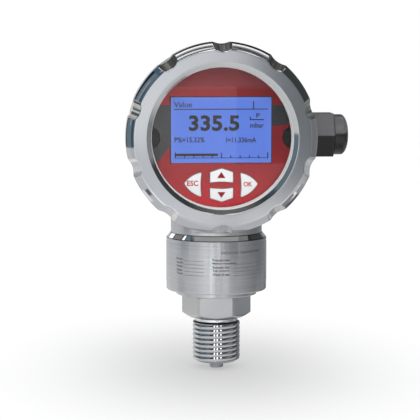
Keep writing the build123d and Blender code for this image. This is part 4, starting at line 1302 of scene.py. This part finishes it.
# dark card in front on the right, left blue card beside the head
card("dark_right", [(54, -336, 140), (90, -336, -2), (330, -336, -2), (330, -336, 230), (58, -336, 230)], (0.185, 0.197, 0.205))
card("blue_left", [(-150, -12, 58), (-150, 31, 58), (-150, 31, 230), (-150, -12, 230)], (0.17, 0.235, 0.285))
card("blue_left_streak", [(-149.5, -4, 96), (-149.5, 2, 96), (-149.5, 2, 200), (-149.5, -4, 200)], (0.45, 0.54, 0.62))
card("blue_left_rear", [(-150, 31, 58), (-150, 150, 58), (-150, 150, 230), (-150, 31, 230)], (0.015, 0.02, 0.025))
card("blue_left_fore", [(-150, -40, 58), (-150, -12, 58), (-150, -12, 230), (-150, -40, 230)], (0.05, 0.075, 0.095))
card("blue_left_far", [(-150, -175, 58), (-150, -40, 58), (-150, -40, 230), (-150, -175, 230)], (0.155, 0.205, 0.245))
# the grey middle tone that the flat plate sees on its right, and the bar along its top
card("plate_right", [(34, -338, 46), (92, -338, 46), (92, -338, 92.5), (34, -338, 92.5)], (0.26, 0.27, 0.28))
card("plate_top", [(-12, -337, 92.5), (60, -337, 92.5), (60, -337, 106), (-12, -337, 106)], (0.17, 0.18, 0.19))
# the front, less bright towards its foot
card("front_low_left", [(-140, -339, -14), (0, -339, -14), (0, -339, 10), (-12, -339, 18), (-12, -339, 56), (-140, -339, 56)], (0.685, 0.70, 0.72))
card("front_low_right", [(30, -339, -14), (92, -339, -14), (92, -339, 22), (30, -339, 22)], (0.53, 0.55, 0.575))
# a thin dark upright low in front with a bright edge beside it
card("upright_dark", [(24, -299, -16), (37, -299, -16), (37, -299, 9), (24, -299, 9)], (0.01, 0.01, 0.012))
card("upright_bright", [(40, -299, -32), (70.5, -299, -32), (70.5, -299, -9), (40, -299, -9)], (1.45, 1.29, 1.22))
card("upright_right", [(70.5, -299.2, -34), (135, -299.2, -34), (135, -299.2, -12), (70.5, -299.2, -12)], (1.35, 1.28, 1.25))
# low cards for the hexagon and the thread
card("low_front", [(-70, -300, -100), (70, -300, -100), (70, -300, -27), (-70, -300, -27)], (0.66, 0.67, 0.69))
card("body_centre", [(-105, -299, -40), (-38, -299, -40), (-38, -299, -13), (-105, -299, -13)], (2.1, 2.1, 2.13))
card("neck_left", [(-150, -66, 25), (-150, -6, 25), (-150, -6, 36), (-150, -66, 36)], (0.07, 0.095, 0.11))
card("below_right", [(165, 60, -130), (340, 60, -130), (340, 175, -130), (165, 175, -130)], (1.15, 1.07, 1.05))
card("low_left", [(-150, 33, -22), (-150, 150, -22), (-150, 150, -8), (-150, 33, -8)], (0.68, 0.675, 0.665))
card("low_left_far", [(-150, 31, -80), (-150, 280, -80), (-150, 280, -36), (-150, 31, -36)], (0.98, 0.93, 0.87))
card("low_left_near", [(-149.5, -26, -58), (-149.5, 26, -58), (-149.5, 26, -36), (-149.5, -26, -36)], (0.13, 0.17, 0.195))
card("low_right", [(150, 20, -30), (150, 130, -30), (150, 130, -8), (150, 20, -8)], (0.38, 0.395, 0.41))
card("low_right_far", [(150, 50, -120), (150, 300, -120), (150, 300, -30), (150, 50, -30)], (0.13, 0.14, 0.145))
# two small white panels high on the left
card("panel_a", [(-149, 160, 108), (-149, 300, 108), (-149, 300, 150), (-149, 160, 150)], (1.6, 1.6, 1.6))
card("panel_b", [(-62.0, -0.7, 80), (-62.0, 7.9, 80), (-50.8, 0.0, 80)], (2.2, 2.2, 2.2))
card("panel_c", [(-149, 58, 118), (-149, 140, 118), (-149, 140, 190), (-149, 58, 190)], (0.27, 0.265, 0.26))
# a dark card below the cable gland
card("under_gland", [(42, -60, 18), (80, -60, 18), (80, -8, 18), (42, -8, 18)], (0.30, 0.30, 0.31))

# a grey shelf close over the front of the chamfer
shelf = [(r * sin(radians(a)), -r * cos(radians(a)), 38.9) for r, a in
         [(20.9, -34.0 + 4 * i) for i in range(16)] + [(24.6, 26.0 - 4 * i) for i in range(16)]]
card("shelf", shelf, (0.40, 0.405, 0.405))
shelf_right = [(r * sin(radians(a)), -r * cos(radians(a)), 38.9) for r, a in
               [(20.9, 26.3 + 3 * i) for i in range(6)] + [(24.6, 41.3 - 3 * i) for i in range(6)]]
card("shelf_right", shelf_right, (0.245, 0.25, 0.25))

# floor: pale and partly self-lit, darkened under the object by two soft pools of painted shadow
fm_ = Tree("pale_floor")
vec, x, y, z = fm_.coords()
g = fm_.noise(vec, 3.0, 4.0, 0.5)


def painted_shadow_pool(cy, rx, ry, n):
    ex = fm_.math("POWER", fm_.math("ABSOLUTE", fm_.math("DIVIDE", x, rx)), 2.0)
    ey = fm_.math("POWER", fm_.math("ABSOLUTE", fm_.math("DIVIDE", fm_.math("SUBTRACT", y, cy), ry)), n)
    return fm_.math("EXPONENT", fm_.math("MULTIPLY", fm_.math("ADD", ex, ey), -1.0))


# painted shadow: two soft pools darken the floor under the object
dark = fm_.math("ADD", fm_.math("MULTIPLY", painted_shadow_pool(0.0, 0.056, 0.092, 2.3), 0.265), fm_.math("MULTIPLY", painted_shadow_pool(-0.045, 0.105, 0.090, 2.0), 0.030))
tone = fm_.math("MULTIPLY", fm_.math("SUBTRACT", 1.0, dark), fm_.math("ADD", 0.995, fm_.math("MULTIPLY", g, 0.01)))
c = fm_.combine(fm_.math("MULTIPLY", tone, 0.36), fm_.math("MULTIPLY", tone, 0.36), fm_.math("MULTIPLY", tone, 0.36))
glow = fm_.combine(fm_.math("MULTIPLY", tone, 0.57), fm_.math("MULTIPLY", tone, 0.57), fm_.math("MULTIPLY", tone, 0.57))
fm_.bsdf(c, 0.0, 0.6, emission=glow, estr=1.0)
me = bpy.data.meshes.new("floor")
X0, X1, Y0, Y1 = -1.2, 1.2, -0.45, 1.6
me.from_pydata([(X0, Y0, -0.023), (X1, Y0, -0.023), (X1, Y1, -0.023), (X0, Y1, -0.023)], [], [(0, 1, 2, 3)])
me.materials.append(fm_.mat)
floor = bpy.data.objects.new("floor", me)
scene.collection.objects.link(floor)
floor.visible_glossy = False
